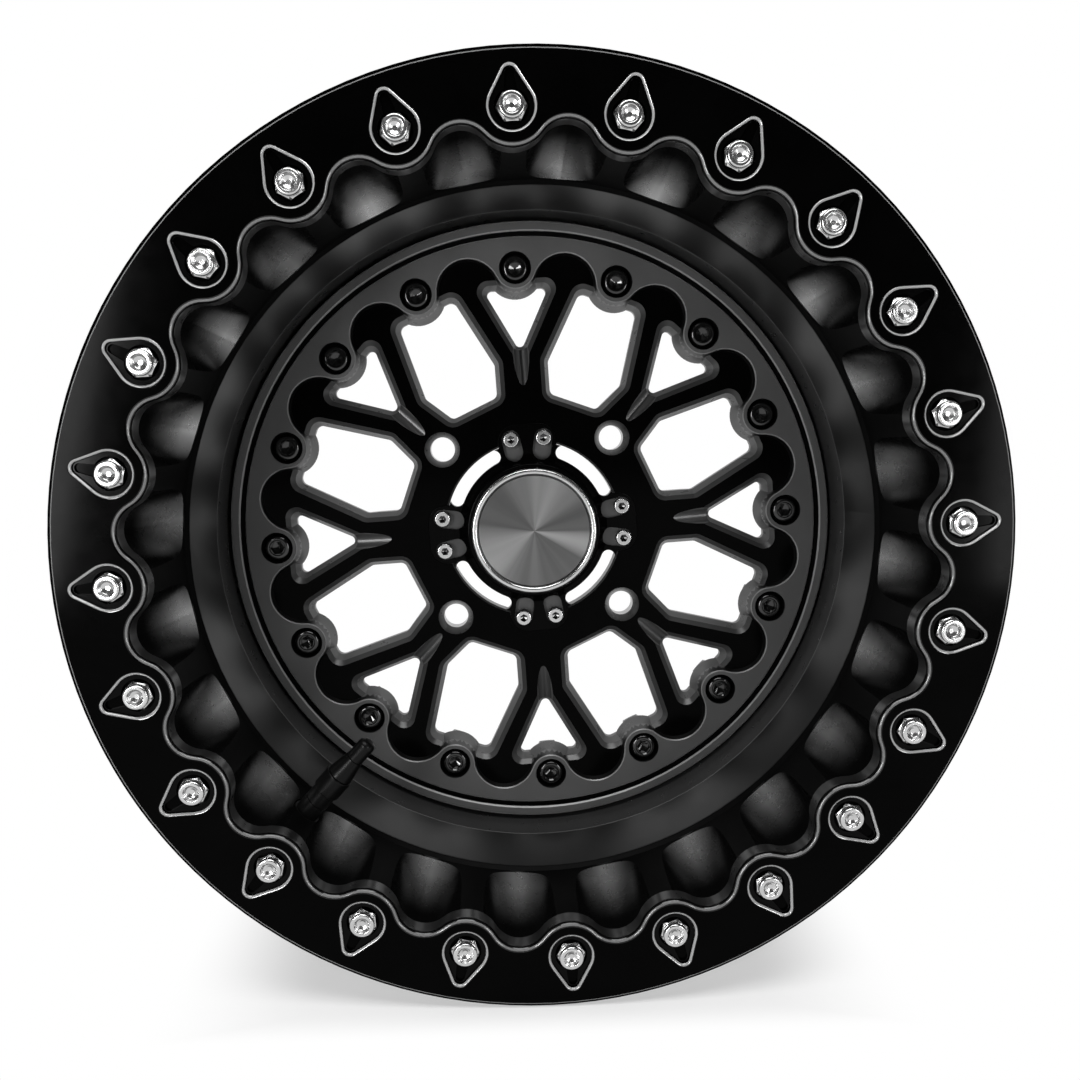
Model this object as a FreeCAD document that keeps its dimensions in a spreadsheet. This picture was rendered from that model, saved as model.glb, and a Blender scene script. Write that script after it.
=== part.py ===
"""Beadlock wheel for a side-by-side buggy, 16 x 8 inch, four studs on a 137 mm circle.

A clamp ring is bolted to the outer barrel, the two barrel halves are bolted behind a mesh centre disc,
and the disc carries a screwed hub cap. The valve stands in the outer barrel.
Every piece is drawn about the wheel's own axis, Z pointing outboard from the hub mounting face at Z = 0.
The placements then turn the axis to -Y, so the finished wheel stands upright with its front to -Y.
"""
import FreeCAD, Part
import Sketcher
import math
import os
from types import SimpleNamespace
from FreeCAD import Placement, Rotation, Vector

# How often each feature repeats round the wheel
RING_BOLTS = 24
CENTRE_BOLTS = 16
SPOKES = 8
LUGS = 4
CAP_TABS = 4

# Driving dimensions in millimetres and degrees, kept in the document's sheet
DIMENSIONS = (
    ("clocking", 4.12, "turn of the whole pattern from upright"),
    ("thread_clearance", 0.05, "radial gap at a threaded fit"),
    ("hole_clearance", 0.25, "radial gap at a bolt hole or spigot"),
    # Clamp ring
    ("ring_outer_r", 224.0, "outside radius"),
    ("ring_thickness", 10.0, "plate thickness"),
    ("ring_edge_in", 2.6, "bevelled outer front edge, width"),
    ("ring_edge_down", 2.4, "bevelled outer front edge, depth"),
    ("ring_edge_line", 0.5, "narrow strip that starts that edge"),
    ("ring_back_chamfer", 1.2, "chamfer on the outer back edge"),
    ("ring_bolt_pitch_r", 198.0, "bolt circle radius"),
    ("ring_lobe_r", 17.4, "radius of the inner edge round each bolt"),
    ("ring_notch_top_r", 193.0, "wheel radius at the top of each notch"),
    ("ring_inner_round", 2.6, "round on the inner front edge"),
    ("teardrop_r", 11.5, "round end of the teardrop pocket"),
    ("teardrop_tip_r", 4.5, "pointed end of the teardrop pocket"),
    ("teardrop_length", 13.7, "bolt to the centre of the pointed end"),
    ("teardrop_round", 1.6, "rounded rim of the pocket"),
    ("teardrop_depth", 1.9, "ledge below the ring face"),
    ("bolt_well_r", 7.8, "round well for the bolt head"),
    ("bolt_well_depth", 4.0, "well floor below the ring face"),
    ("channel_r", 3.6, "half width of the drain channel at the bolt"),
    ("channel_tip_r", 2.2, "half width of the drain channel at its tip"),
    ("channel_depth", 3.2, "drain channel below the ring face"),
    # Clamp ring bolts
    ("ring_bolt_r", 4.0, "shank radius"),
    ("ring_bolt_grip", 20.0, "shank length under the head"),
    ("ring_bolt_flats", 12.4, "across flats"),
    ("ring_bolt_head", 6.3, "head height"),
    ("ring_bolt_collar_r", 5.9, "round top of the head"),
    ("ring_bolt_collar_round", 1.0, "round on the top edge"),
    ("ring_bolt_line", 0.45, "width and depth of the ring line on the head"),
    ("ring_bolt_cup_r", 3.9, "dished recess in the head"),
    ("ring_bolt_cup_depth", 2.4, "depth of that recess"),
    # Outer barrel
    ("barrel_front_z", 114.7, "front face of the outer barrel"),
    ("bead_shelf_r", 204.0, "shelf that centres the clamped tyre bead"),
    ("bead_shelf_width", 13.2, "width of that shelf"),
    ("shoulder_r", 214.0, "shoulder behind the clamped bead"),
    ("shoulder_width", 4.5, "width of that shoulder"),
    ("valve_land_r", 198.0, "outer wall behind the shoulder"),
    ("valve_land_width", 24.0, "length of that wall"),
    ("well_r", 184.5, "drop centre"),
    ("well_slope", 16.0, "axial length of the slope into the drop centre"),
    ("land_front_r", 182.0, "inner wall between flutes, at the front"),
    ("land_end_r", 179.5, "inner wall between flutes, at their end"),
    ("land_length", 43.5, "front face to the end of the flutes"),
    ("band_step", 2.0, "step down from the flutes to the plain band"),
    ("band_end_r", 171.0, "narrow end of the sloping band"),
    ("band_end_above", 36.0, "narrow end of the band above the centre's seat"),
    ("pocket_wall_r", 173.1, "wall round the centre disc, behind the band"),
    ("flute_half_width", 18.3, "half width of the scooped flutes"),
    ("flute_floor_r", 193.0, "wheel radius of the flute floor at the front"),
    ("flute_length", 42.0, "front face to where the flutes run out"),
    ("flute_rim", 3.2, "middle of the flute's round section inside the wall"),
    # Inner barrel and joint
    ("flange_bore_r", 137.0, "bore of both barrel flanges"),
    ("flange_thickness", 8.0, "thickness of each barrel flange"),
    ("flange_lobe_r", 8.7, "barrel flange left round each bolt"),
    ("flange_notch_r", 147.0, "wheel radius of the notches between those bolts"),
    ("barrel_wall", 6.0, "wall of the inner barrel"),
    ("inner_well_length", 44.0, "joint face to the end of the drop centre"),
    ("hump_z", -74.0, "crest of the safety hump"),
    ("hump_height", 1.2, "hump above the bead seat"),
    ("inner_seat_r", 202.8, "rear bead seat at its flange"),
    ("inner_seat_width", 20.0, "width of the rear bead seat"),
    ("inner_seat_fall", 1.7, "fall of the seat across its width"),
    ("rear_flange_r", 220.0, "rear flange"),
    ("rear_flange_width", 9.0, "axial width of the rear flange"),
    ("seal_r", 177.0, "centre line of the joint seal"),
    ("seal_section_r", 1.6, "section radius of the joint seal"),
    # Centre disc
    ("seat_z", 6.0, "back of the disc flange, where the barrels bolt on"),
    ("disc_flange_thickness", 12.0, "thickness of the disc flange"),
    ("disc_outer_r", 170.2, "outside radius"),
    ("face_outer_r", 162.4, "edge of the flat flange face"),
    ("groove_width", 2.5, "groove round the flange face"),
    ("groove_depth", 3.0, "depth of that groove"),
    ("lip_height", 1.4, "lip above the flange face"),
    ("lip_chamfer", 0.8, "chamfers on the lip"),
    ("centre_bolt_pitch_r", 145.6, "bolt circle radius"),
    ("tongue_r", 11.4, "flange edge round each bolt"),
    ("recess_top_r", 154.6, "wheel radius at the top of each arm recess"),
    ("tongue_draft", 1.5, "slope of the tongue walls above the spokes"),
    ("tongue_bevel", 3.0, "bevel of the tongue walls beside the windows"),
    ("tongue_edge", 0.6, "broken edge of the tongues"),
    ("spoke_face_z", 14.0, "front face of spokes and hub"),
    ("spoke_back_z", 3.0, "back of the spokes"),
    ("hub_pad_r", 90.0, "mounting pad"),
    ("bore_r", 50.0, "front bore"),
    ("pilot_r", 55.0, "hub pilot bore"),
    ("pilot_depth", 5.0, "depth of the hub pilot"),
    ("trunk_half", 10.4, "half width of a spoke below its fork"),
    ("fork_at", 95.3, "wheel radius where the spoke starts to fork"),
    ("arm_angle", 29.0, "outer side of a fork arm from the spoke"),
    ("window_foot", 71.0, "inner edge of the large windows"),
    ("window_top", 139.5, "outer edge of the large windows"),
    ("window_lug_shift", 2.0, "large window kept away from the stud seat"),
    ("window_round", 7.5, "corner radius of the large windows"),
    ("fork_apex", 89.7, "inner corner of the small window"),
    ("fork_top", 140.0, "outer edge of the small window"),
    ("fork_angle", 27.5, "side of the small window from the spoke"),
    ("fork_round", 6.3, "corner radius of the small windows"),
    ("chamfer_in", 2.4, "first bevel of a window, width"),
    ("chamfer_down", 2.2, "first bevel of a window, depth"),
    ("draft_in", 2.4, "second bevel of a window, width"),
    ("draft_down", 5.0, "second bevel of a window, depth"),
    ("scallop_tip", 81.9, "point of the scallop below each fork"),
    ("scallop_r", 4.8, "cutter radius of the scallop"),
    ("scallop_slope", 12.0, "slope of the scallop"),
    ("lug_pitch_r", 68.5, "stud circle radius"),
    ("lug_hole_r", 7.0, "stud hole"),
    ("lug_cone_r", 10.0, "cone seat at the face"),
    ("lug_cone_depth", 5.2, "depth of the cone seat"),
    # Centre bolts and nuts
    ("centre_bolt_r", 5.0, "shank radius"),
    ("centre_head_r", 7.2, "head radius"),
    ("centre_head", 6.0, "head height"),
    ("centre_head_sunk", 0.8, "head below the flange face"),
    ("centre_head_round", 2.0, "round on the head"),
    ("centre_well_gap", 1.2, "gap round the head"),
    ("centre_well_edge", 0.5, "broken edge of the counterbore"),
    ("centre_socket_flats", 7.0, "socket across flats"),
    ("centre_socket_rim", 0.6, "sloping rim of the socket"),
    ("centre_socket_depth", 3.6, "socket depth"),
    ("centre_socket_point", 1.2, "conical floor of the socket"),
    ("centre_nut_flats", 16.0, "nut across flats"),
    ("centre_nut_height", 8.4, "nut height"),
    ("centre_bolt_stub", 2.6, "thread beyond the nut"),
    # Hub cap
    ("cap_ring_r", 42.5, "outside radius of the cap's ring"),
    ("cap_gap_r", 50.3, "outer side of the open arcs"),
    ("cap_hollow_r", 33.5, "hollow over the hub nut"),
    ("cap_back_z", 8.0, "back edge of the cap"),
    ("cap_seat_z", 10.5, "recess floor that carries the tabs"),
    ("cap_tab_top_z", 14.8, "top of the tabs"),
    ("cap_deck_z", 24.0, "deck under the bezel"),
    ("cap_deck_r", 37.4, "radius of the deck"),
    ("cap_deck_thickness", 3.0, "thickness of the deck"),
    ("tab_half", 16.5, "half width of a tab"),
    ("tab_reach", 59.5, "wheel radius at a tab's end"),
    ("tab_round", 10.0, "corner radius of a tab"),
    ("screw_side", 9.25, "screw beside the tab's middle line"),
    ("screw_out", 51.4, "screw along the tab's middle line"),
    ("slot_r", 5.25, "half width of the screw slots"),
    ("slot_length", 12.5, "slot length inward of the screw"),
    ("slot_floor_z", 12.3, "slot floor"),
    ("screw_r", 2.5, "screw shank radius"),
    ("screw_head_r", 4.4, "screw head radius"),
    ("screw_head", 5.0, "screw head height"),
    ("screw_reach", 6.6, "screw length under the head"),
    ("screw_socket_flats", 4.0, "screw socket across flats"),
    ("screw_socket_depth", 2.6, "screw socket depth"),
    ("screw_socket_point", 0.7, "conical floor of the screw socket"),
    ("bezel_outer_r", 35.2, "polished bezel, outside"),
    ("bezel_inner_r", 31.6, "polished bezel, inside"),
    ("bezel_height", 6.0, "polished bezel, height"),
    ("bezel_round", 1.5, "polished bezel, edge rounds"),
    ("plate_gap", 0.1, "gap between plate and bezel"),
    ("plate_thickness", 4.6, "brushed plate"),
    ("plate_edge", 0.5, "chamfer of the brushed plate"),
    # Valve, measured along its own axis from the seat on the barrel's inner wall
    ("valve_angle", 225.0, "place round the wheel"),
    ("valve_seat_r", 182.0, "wheel radius of the valve seat"),
    ("valve_seat_back", 27.0, "valve seat behind the barrel's front face"),
    ("valve_tilt", 6.0, "forward lean of the stem"),
    ("valve_wall", 7.5, "barrel wall left at the valve"),
    ("valve_spot_r", 8.0, "flat seat for the washer"),
    ("valve_pocket_r", 10.5, "pocket for the grommet on the air side"),
    ("valve_hole_r", 5.65, "hole through the barrel"),
    ("stem_r", 4.0, "stem radius"),
    ("stem_bore_r", 2.6, "stem bore"),
    ("stem_head_r", 8.0, "stem head on the air side"),
    ("stem_head", 2.5, "stem head thickness"),
    ("stem_top", 47.5, "top of the stem"),
    ("cap_thread_r", 3.85, "thread that takes the dust cap"),
    ("grommet_r", 9.0, "grommet flange radius"),
    ("grommet_flange", 3.0, "grommet flange thickness"),
    ("washer_r", 7.4, "washer radius"),
    ("washer_thickness", 1.4, "washer thickness"),
    ("nut_r", 6.4, "round clamp nut radius"),
    ("nut_top", 16.9, "top of the clamp nut"),
    ("nut_ring_at", 9.2, "ring line on the clamp nut"),
    ("collar_r", 7.3, "sleeve collar radius"),
    ("collar_top", 27.9, "top of the collar"),
    ("cone_foot_r", 6.7, "sleeve cone at the collar"),
    ("cone_tip_r", 4.7, "sleeve cone at the dust cap"),
    ("cone_top", 39.9, "top of the sleeve"),
    ("ring_line", 0.5, "width and depth of the ring lines"),
    ("dust_cap_r", 4.5, "dust cap radius"),
    ("dust_cap_top", 52.1, "top of the dust cap"),
    ("dust_cap_round", 3.2, "dome of the dust cap"),
    ("dust_cap_gap", 0.3, "gap under the dust cap"),
    ("dust_seal_thickness", 1.4, "seal inside the dust cap"),
    ("dust_seal_bore_r", 1.6, "hole in that seal"),
    ("core_bottom", 26.0, "bottom of the valve core"),
    ("core_top", 45.5, "top of the valve core"),
    ("core_bore_r", 1.25, "bore of the valve core"),
    ("core_seat_r", 2.1, "seat that the pin's plug closes"),
    ("core_seat_depth", 2.0, "depth of that seat"),
    ("pin_r", 0.85, "pin radius"),
    ("pin_top", 46.7, "top of the pin"),
    ("pin_plug", 3.0, "height of the pin's plug"),
)


class Size:
    """A number that remembers the sheet expression it comes from."""

    def __init__(self, value, text):
        self.value = float(value)
        self.text = text

    def __float__(self):
        return self.value

    def __add__(self, other):
        other = as_size(other)
        return Size(self.value + other.value, f"({self.text} + {other.text})")

    def __sub__(self, other):
        other = as_size(other)
        return Size(self.value - other.value, f"({self.text} - {other.text})")

    def __mul__(self, other):
        other = as_size(other)
        return Size(self.value * other.value, f"({self.text} * {other.text})")

    def __truediv__(self, other):
        other = as_size(other)
        return Size(self.value / other.value, f"({self.text} / {other.text})")

    def __radd__(self, other):
        return as_size(other) + self

    def __rsub__(self, other):
        return as_size(other) - self

    def __rmul__(self, other):
        return as_size(other) * self

    def __neg__(self):
        return 0.0 - self


def as_size(number):
    """Give a plain number the form of a Size."""
    if isinstance(number, Size):
        return number
    return Size(number, repr(float(number)))


doc = FreeCAD.newDocument("beadlock_wheel")
sheet = doc.addObject("Spreadsheet::Sheet", "Sizes")
for row, (alias, value, meaning) in enumerate(DIMENSIONS, start=1):
    sheet.set(f"A{row}", meaning)
    sheet.set(f"B{row}", str(value))
    sheet.setAlias(f"B{row}", alias)
doc.recompute()
D = SimpleNamespace(**{alias: Size(sheet.get(alias), f"Sizes.{alias}") for alias, value, meaning in DIMENSIONS})

# Upright wheel: the axis turns from Z to -Y after the pattern's own clocking
WHEEL = Placement(Vector(), Rotation(Vector(1, 0, 0), 90) * Rotation(Vector(0, 0, 1), float(D.clocking)))
NODES = []


def node(obj, name, placement=WHEEL):
    """Name a finished sub-part and put it in the wheel's frame."""
    obj.Label = name
    obj.Placement = placement
    NODES.append(obj)
    return obj


def bind(obj, **sizes):
    """Tie properties of an object to sheet expressions."""
    for prop, size in sizes.items():
        obj.setExpression(prop, as_size(size).text)
    return obj


def feature(name, shape):
    """Hold a shape made in a loop as an object of the document."""
    obj = doc.addObject("Part::Feature", name)
    obj.Shape = shape
    return obj


def cut(name, base, tool):
    obj = doc.addObject("Part::Cut", name)
    obj.Base = base
    obj.Tool = tool
    obj.Refine = False
    doc.recompute()
    return obj


def fuse(name, *parts):
    obj = doc.addObject("Part::MultiFuse", name)
    obj.Shapes = list(parts)
    obj.Refine = False
    doc.recompute()
    return obj


def polar(radius, degrees, z=0.0):
    """Point at a wheel radius and an angle."""
    angle = math.radians(degrees)
    return Vector(radius * math.cos(angle), radius * math.sin(angle), z)


def around(shape, count, start=0.0):
    """Copies of a shape spaced evenly round the wheel axis."""
    copies = []
    for index in range(count):
        copy = shape.copy()
        copy.rotate(Vector(), Vector(0, 0, 1), start + 360.0 * index / count)
        copies.append(copy)
    return copies


# Revolved bodies

def corner_arc(before, corner, after, radius):
    """Tangent points and arc centre of a rounded corner."""
    back = (before - corner).normalize()
    ahead = (after - corner).normalize()
    half = back.getAngle(ahead) / 2
    first = corner + back * (radius / math.tan(half))
    last = corner + ahead * (radius / math.tan(half))
    centre = corner + (back + ahead).normalize() * (radius / math.sin(half))
    return first, last, centre


def revolved(name, profile):
    """Body turned about Z from a closed profile of (radius, height[, corner round])."""
    body = doc.addObject("PartDesign::Body", name)
    sketch = body.newObject("Sketcher::SketchObject", name + "_profile")
    plane = [item for item in body.Origin.OriginFeatures if item.Role == "XZ_Plane"][0]
    sketch.AttachmentSupport = [(plane, "")]
    sketch.MapMode = "FlatFace"
    corners = [Vector(float(item[0]), float(item[1]), 0) for item in profile]
    count = len(corners)
    rounds = []
    for index, item in enumerate(profile):
        if len(item) > 2:
            rounds.append(corner_arc(corners[index - 1], corners[index], corners[(index + 1) % count],
                                     float(item[2])))
        else:
            rounds.append(None)
    for index in range(count):
        follow = (index + 1) % count
        start = rounds[index][1] if rounds[index] else corners[index]
        end = rounds[follow][0] if rounds[follow] else corners[follow]
        sketch.addGeometry(Part.LineSegment(start, end), False)

    def place(geometry, point, index):
        """Fix a point of the sketch at a profile corner."""
        for kind, size in (("DistanceX", profile[index][0]), ("DistanceY", profile[index][1])):
            if kind == "DistanceX" and float(size) == 0.0:
                sketch.addConstraint(Sketcher.Constraint("PointOnObject", geometry, point, -2))
                continue
            number = sketch.addConstraint(Sketcher.Constraint(kind, -1, 1, geometry, point, float(size)))
            sketch.setExpression(f"Constraints[{number}]", as_size(size).text)

    for index in range(count):
        line_in = (index - 1) % count
        if rounds[index] is None:
            sketch.addConstraint(Sketcher.Constraint("Coincident", line_in, 2, index, 1))
            place(index, 1, index)
            continue
        first, last, centre = rounds[index]
        radius = (first - centre).Length
        from_angle = math.atan2(first.y - centre.y, first.x - centre.x)
        to_angle = math.atan2(last.y - centre.y, last.x - centre.x)
        left_turn = math.sin(to_angle - from_angle) > 0
        ends = (1, 2) if left_turn else (2, 1)
        angles = (from_angle, to_angle) if left_turn else (to_angle, from_angle)
        circle = Part.Circle(centre, Vector(0, 0, 1), radius)
        arc = sketch.addGeometry(Part.ArcOfCircle(circle, *angles), False)
        mark = sketch.addGeometry(Part.Point(corners[index]), True)
        sketch.addConstraint(Sketcher.Constraint("Tangent", line_in, 2, arc, ends[0]))
        sketch.addConstraint(Sketcher.Constraint("Tangent", arc, ends[1], index, 1))
        sketch.addConstraint(Sketcher.Constraint("PointOnObject", mark, 1, line_in))
        sketch.addConstraint(Sketcher.Constraint("PointOnObject", mark, 1, index))
        number = sketch.addConstraint(Sketcher.Constraint("Radius", arc, radius))
        sketch.setExpression(f"Constraints[{number}]", as_size(profile[index][2]).text)
        place(mark, 1, index)
    turn = body.newObject("PartDesign::Revolution", name + "_turn")
    turn.Profile = sketch
    turn.ReferenceAxis = (sketch, ["V_Axis"])
    turn.Angle = 360.0
    doc.recompute()
    return body


# Outlines shared by several pieces

def scalloped_wire(count, pitch_r, lobe_r, notch_top_r, z, grow=0.0):
    """Closed edge of tangent arcs: a lobe round each bolt and a notch between two bolts."""
    half = math.pi / count
    along = pitch_r * math.cos(half) - notch_top_r
    across = pitch_r * math.sin(half)
    notch_r = (along ** 2 + across ** 2 - lobe_r ** 2) / (2 * (lobe_r - along))
    notch_pitch_r = notch_top_r - notch_r
    step = 360.0 / count
    edges = []
    for index in range(count):
        bolt = polar(pitch_r, index * step, z)
        following = polar(pitch_r, (index + 1) * step, z)
        previous_notch = polar(notch_pitch_r, (index - 0.5) * step, z)
        notch = polar(notch_pitch_r, (index + 0.5) * step, z)
        start = bolt + (previous_notch - bolt).normalize() * (lobe_r - grow)
        middle = bolt + (notch - bolt).normalize() * (lobe_r - grow)
        end = following + (notch - following).normalize() * (lobe_r - grow)
        lobe_tip = polar(pitch_r - lobe_r + grow, index * step, z)
        notch_tip = polar(notch_top_r + grow, (index + 0.5) * step, z)
        edges.append(Part.Arc(start, lobe_tip, middle).toShape())
        edges.append(Part.Arc(middle, notch_tip, end).toShape())
    return Part.Wire(edges)


def ruled_solid(lower, upper):
    """Solid with straight walls between two matching outlines."""
    return Part.makeLoft([lower, upper], True, True)


def prism(wire, z_from, z_to):
    """Straight solid from an outline drawn at height z_from."""
    return Part.Face(wire).extrude(Vector(0, 0, z_to - z_from))


def capsule_wire(near, near_r, far, far_r):
    """Outline round two circles of different radius, joined by their common tangents."""
    axis = far - near
    reach = axis.Length
    axis.normalize()
    side = Vector(-axis.y, axis.x, 0)
    lean = (near_r - far_r) / reach
    rise = math.sqrt(1 - lean ** 2)
    left = axis * lean + side * rise
    right = axis * lean - side * rise
    edges = [
        Part.Arc(near + left * near_r, near - axis * near_r, near + right * near_r).toShape(),
        Part.LineSegment(near + right * near_r, far + right * far_r).toShape(),
        Part.Arc(far + right * far_r, far + axis * far_r, far + left * far_r).toShape(),
        Part.LineSegment(far + left * far_r, near + left * near_r).toShape(),
    ]
    return Part.Wire(edges)


def inset(points, distance):
    """Corners of a convex outline moved inward by the same distance from every side."""
    count = len(points)
    moved = []
    for index in range(count):
        corner = points[index]
        back = (points[index - 1] - corner).normalize()
        ahead = (points[(index + 1) % count] - corner).normalize()
        half = back.getAngle(ahead) / 2
        moved.append(corner + (back + ahead).normalize() * (distance / math.sin(half)))
    return moved


def rounded_wire(points, radius, z):
    """Closed outline with every corner rounded."""
    count = len(points)
    raised = [Vector(point.x, point.y, z) for point in points]
    arcs = [corner_arc(raised[i - 1], raised[i], raised[(i + 1) % count], radius) for i in range(count)]
    edges = []
    for index in range(count):
        first, last, centre = arcs[index]
        tip = centre + (raised[index] - centre).normalize() * radius
        edges.append(Part.Arc(first, tip, last).toShape())
        edges.append(Part.LineSegment(last, arcs[(index + 1) % count][0]).toShape())
    return Part.Wire(edges)


# Heights shared by the pieces
ring_face_z = D.barrel_front_z + D.ring_thickness
ring_bolt_seat_z = ring_face_z - D.bolt_well_depth
disc_face_z = D.seat_z + D.disc_flange_thickness
joint_z = D.seat_z - D.flange_thickness
barrel_back_z = joint_z - D.flange_thickness
centre_head_top_z = disc_face_z - D.centre_head_sunk
centre_bolt_seat_z = centre_head_top_z - D.centre_head

# Clamp ring: turned plate, scalloped inner edge, one teardrop pocket per bolt
ring_blank_r = D.ring_notch_top_r - 2 * D.ring_lobe_r
ring_blank = revolved("ring_blank", [
    (ring_blank_r, D.barrel_front_z),
    (D.ring_outer_r - D.ring_back_chamfer, D.barrel_front_z),
    (D.ring_outer_r, D.barrel_front_z + D.ring_back_chamfer),
    (D.ring_outer_r, ring_face_z - D.ring_edge_down),
    (D.ring_outer_r - D.ring_edge_in * 0.3, ring_face_z - D.ring_edge_down * 0.4),
    (D.ring_outer_r - D.ring_edge_in + D.ring_edge_line, ring_face_z - D.ring_edge_line * 0.4),
    (D.ring_outer_r - D.ring_edge_in, ring_face_z),
    (ring_blank_r, ring_face_z),
])


def ring_edge(z):
    return scalloped_wire(RING_BOLTS, float(D.ring_bolt_pitch_r), float(D.ring_lobe_r),
                          float(D.ring_notch_top_r), z)


ring_opening = prism(ring_edge(float(D.barrel_front_z) - 1), float(D.barrel_front_z) - 1, float(ring_face_z) + 1)
ring_open = cut("ring_open", ring_blank, feature("ring_opening", ring_opening))


def teardrop_pocket():
    """Pocket tool for the bolt at angle zero: ledge, bolt well, drain channel and hole."""
    top = float(ring_face_z)
    pitch = float(D.ring_bolt_pitch_r)
    ledge = top - float(D.teardrop_depth)
    tip_at = pitch + float(D.teardrop_length)
    slim = float(D.teardrop_round)
    outline = capsule_wire(Vector(pitch, 0, ledge), float(D.teardrop_r) - slim,
                           Vector(tip_at, 0, ledge), float(D.teardrop_tip_r) - slim)
    pocket = prism(outline, ledge, top + 1)
    channel = capsule_wire(Vector(pitch, 0, top - float(D.channel_depth)), float(D.channel_r),
                           Vector(tip_at, 0, top - float(D.channel_depth)), float(D.channel_tip_r))
    channel = prism(channel, top - float(D.channel_depth), ledge + 0.1)
    well = Part.makeCylinder(float(D.bolt_well_r), top - float(ring_bolt_seat_z) - float(D.teardrop_depth) + 0.1,
                             Vector(pitch, 0, float(ring_bolt_seat_z)))
    hole = Part.makeCylinder(float(D.ring_bolt_r + D.hole_clearance), float(D.ring_thickness),
                             Vector(pitch, 0, float(D.barrel_front_z) - 1))
    return pocket.fuse([channel, well, hole])


pockets = feature("teardrop_pockets", Part.makeCompound(around(teardrop_pocket(), RING_BOLTS)))
ring_cut = cut("ring_cut", ring_open, pockets)


pocket_to_r = float(D.ring_bolt_pitch_r + D.teardrop_length + D.teardrop_tip_r)


def ring_edges():
    """Front edges of the ring to round: the scalloped opening and every pocket rim."""
    found = []
    pitch = float(D.ring_bolt_pitch_r)
    step = 360.0 / RING_BOLTS
    height = float(ring_face_z)
    for number, edge in enumerate(ring_cut.Shape.Edges, start=1):
        box = edge.BoundBox
        if abs(box.ZMin - height) > 0.001 or abs(box.ZMax - height) > 0.001:
            continue
        middle = edge.valueAt((edge.FirstParameter + edge.LastParameter) / 2)
        radius = math.hypot(middle.x, middle.y)
        turn = math.degrees(math.atan2(middle.y, middle.x))
        turn = math.radians((turn + step / 2) % step - step / 2)
        from_bolt = math.hypot(radius * math.cos(turn) - pitch, radius * math.sin(turn))
        if radius > pocket_to_r:
            continue
        at_pocket = from_bolt < float(D.teardrop_r) or radius > pitch
        size = float(D.teardrop_round) if at_pocket else float(D.ring_inner_round)
        found.append((number, size, size))
    return found


ring_rounded = doc.addObject("Part::Fillet", "ring")
ring_rounded.Base = ring_cut
ring_rounded.Edges = ring_edges()
doc.recompute()
node(ring_rounded, "beadlock_ring")

# Clamp ring bolts: hexagon head with a round collar and a dished top
ring_bolt_corner_r = D.ring_bolt_flats / math.sqrt(3)
hex_top = D.ring_bolt_head * 0.42
collar_foot = D.ring_bolt_head * 0.52
line_at = D.ring_bolt_head * 0.66
cup_floor = D.ring_bolt_head - D.ring_bolt_cup_depth
ring_bolt_turned = revolved("ring_bolt_turned", [
    (0.0, -D.ring_bolt_grip),
    (D.ring_bolt_r - 0.8, -D.ring_bolt_grip),
    (D.ring_bolt_r, 0.8 - D.ring_bolt_grip),
    (D.ring_bolt_r, 0.0),
    (ring_bolt_corner_r - 0.3, 0.0),
    (ring_bolt_corner_r, 0.3),
    (ring_bolt_corner_r, hex_top - 0.3),
    (D.ring_bolt_collar_r, collar_foot),
    (D.ring_bolt_collar_r, line_at),
    (D.ring_bolt_collar_r - D.ring_bolt_line, line_at + D.ring_bolt_line / 2),
    (D.ring_bolt_collar_r, line_at + D.ring_bolt_line),
    (D.ring_bolt_collar_r, D.ring_bolt_head, D.ring_bolt_collar_round),
    (D.ring_bolt_cup_r, D.ring_bolt_head, 0.4),
    (D.ring_bolt_cup_r * 0.72, cup_floor + D.ring_bolt_cup_depth * 0.3, 0.6),
    (D.ring_bolt_cup_r * 0.3, cup_floor, 0.6),
    (0.0, cup_floor),
])
ring_bolt_hexagon = doc.addObject("Part::Prism", "ring_bolt_hexagon")
bind(ring_bolt_hexagon, Circumradius=D.ring_bolt_flats / math.sqrt(3), Height=D.ring_bolt_head)
ring_bolt_hexagon.Placement = Placement(Vector(), Rotation(Vector(0, 0, 1), 30))
ring_bolt_shank = doc.addObject("Part::Cylinder", "ring_bolt_shank")
bind(ring_bolt_shank, Radius=D.ring_bolt_r, Height=D.ring_bolt_grip + 1)
bind(ring_bolt_shank, **{"Placement.Base.z": -D.ring_bolt_grip})
ring_bolt_envelope = fuse("ring_bolt_envelope", ring_bolt_hexagon, ring_bolt_shank)
ring_bolt = doc.addObject("Part::Common", "ring_bolt")
ring_bolt.Base = ring_bolt_turned
ring_bolt.Tool = ring_bolt_envelope
doc.recompute()
one_bolt = ring_bolt.Shape.copy()
one_bolt.translate(Vector(float(D.ring_bolt_pitch_r), 0, float(ring_bolt_seat_z)))
node(feature("ring_bolts", Part.makeCompound(around(one_bolt, RING_BOLTS))), "beadlock_bolts")

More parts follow.
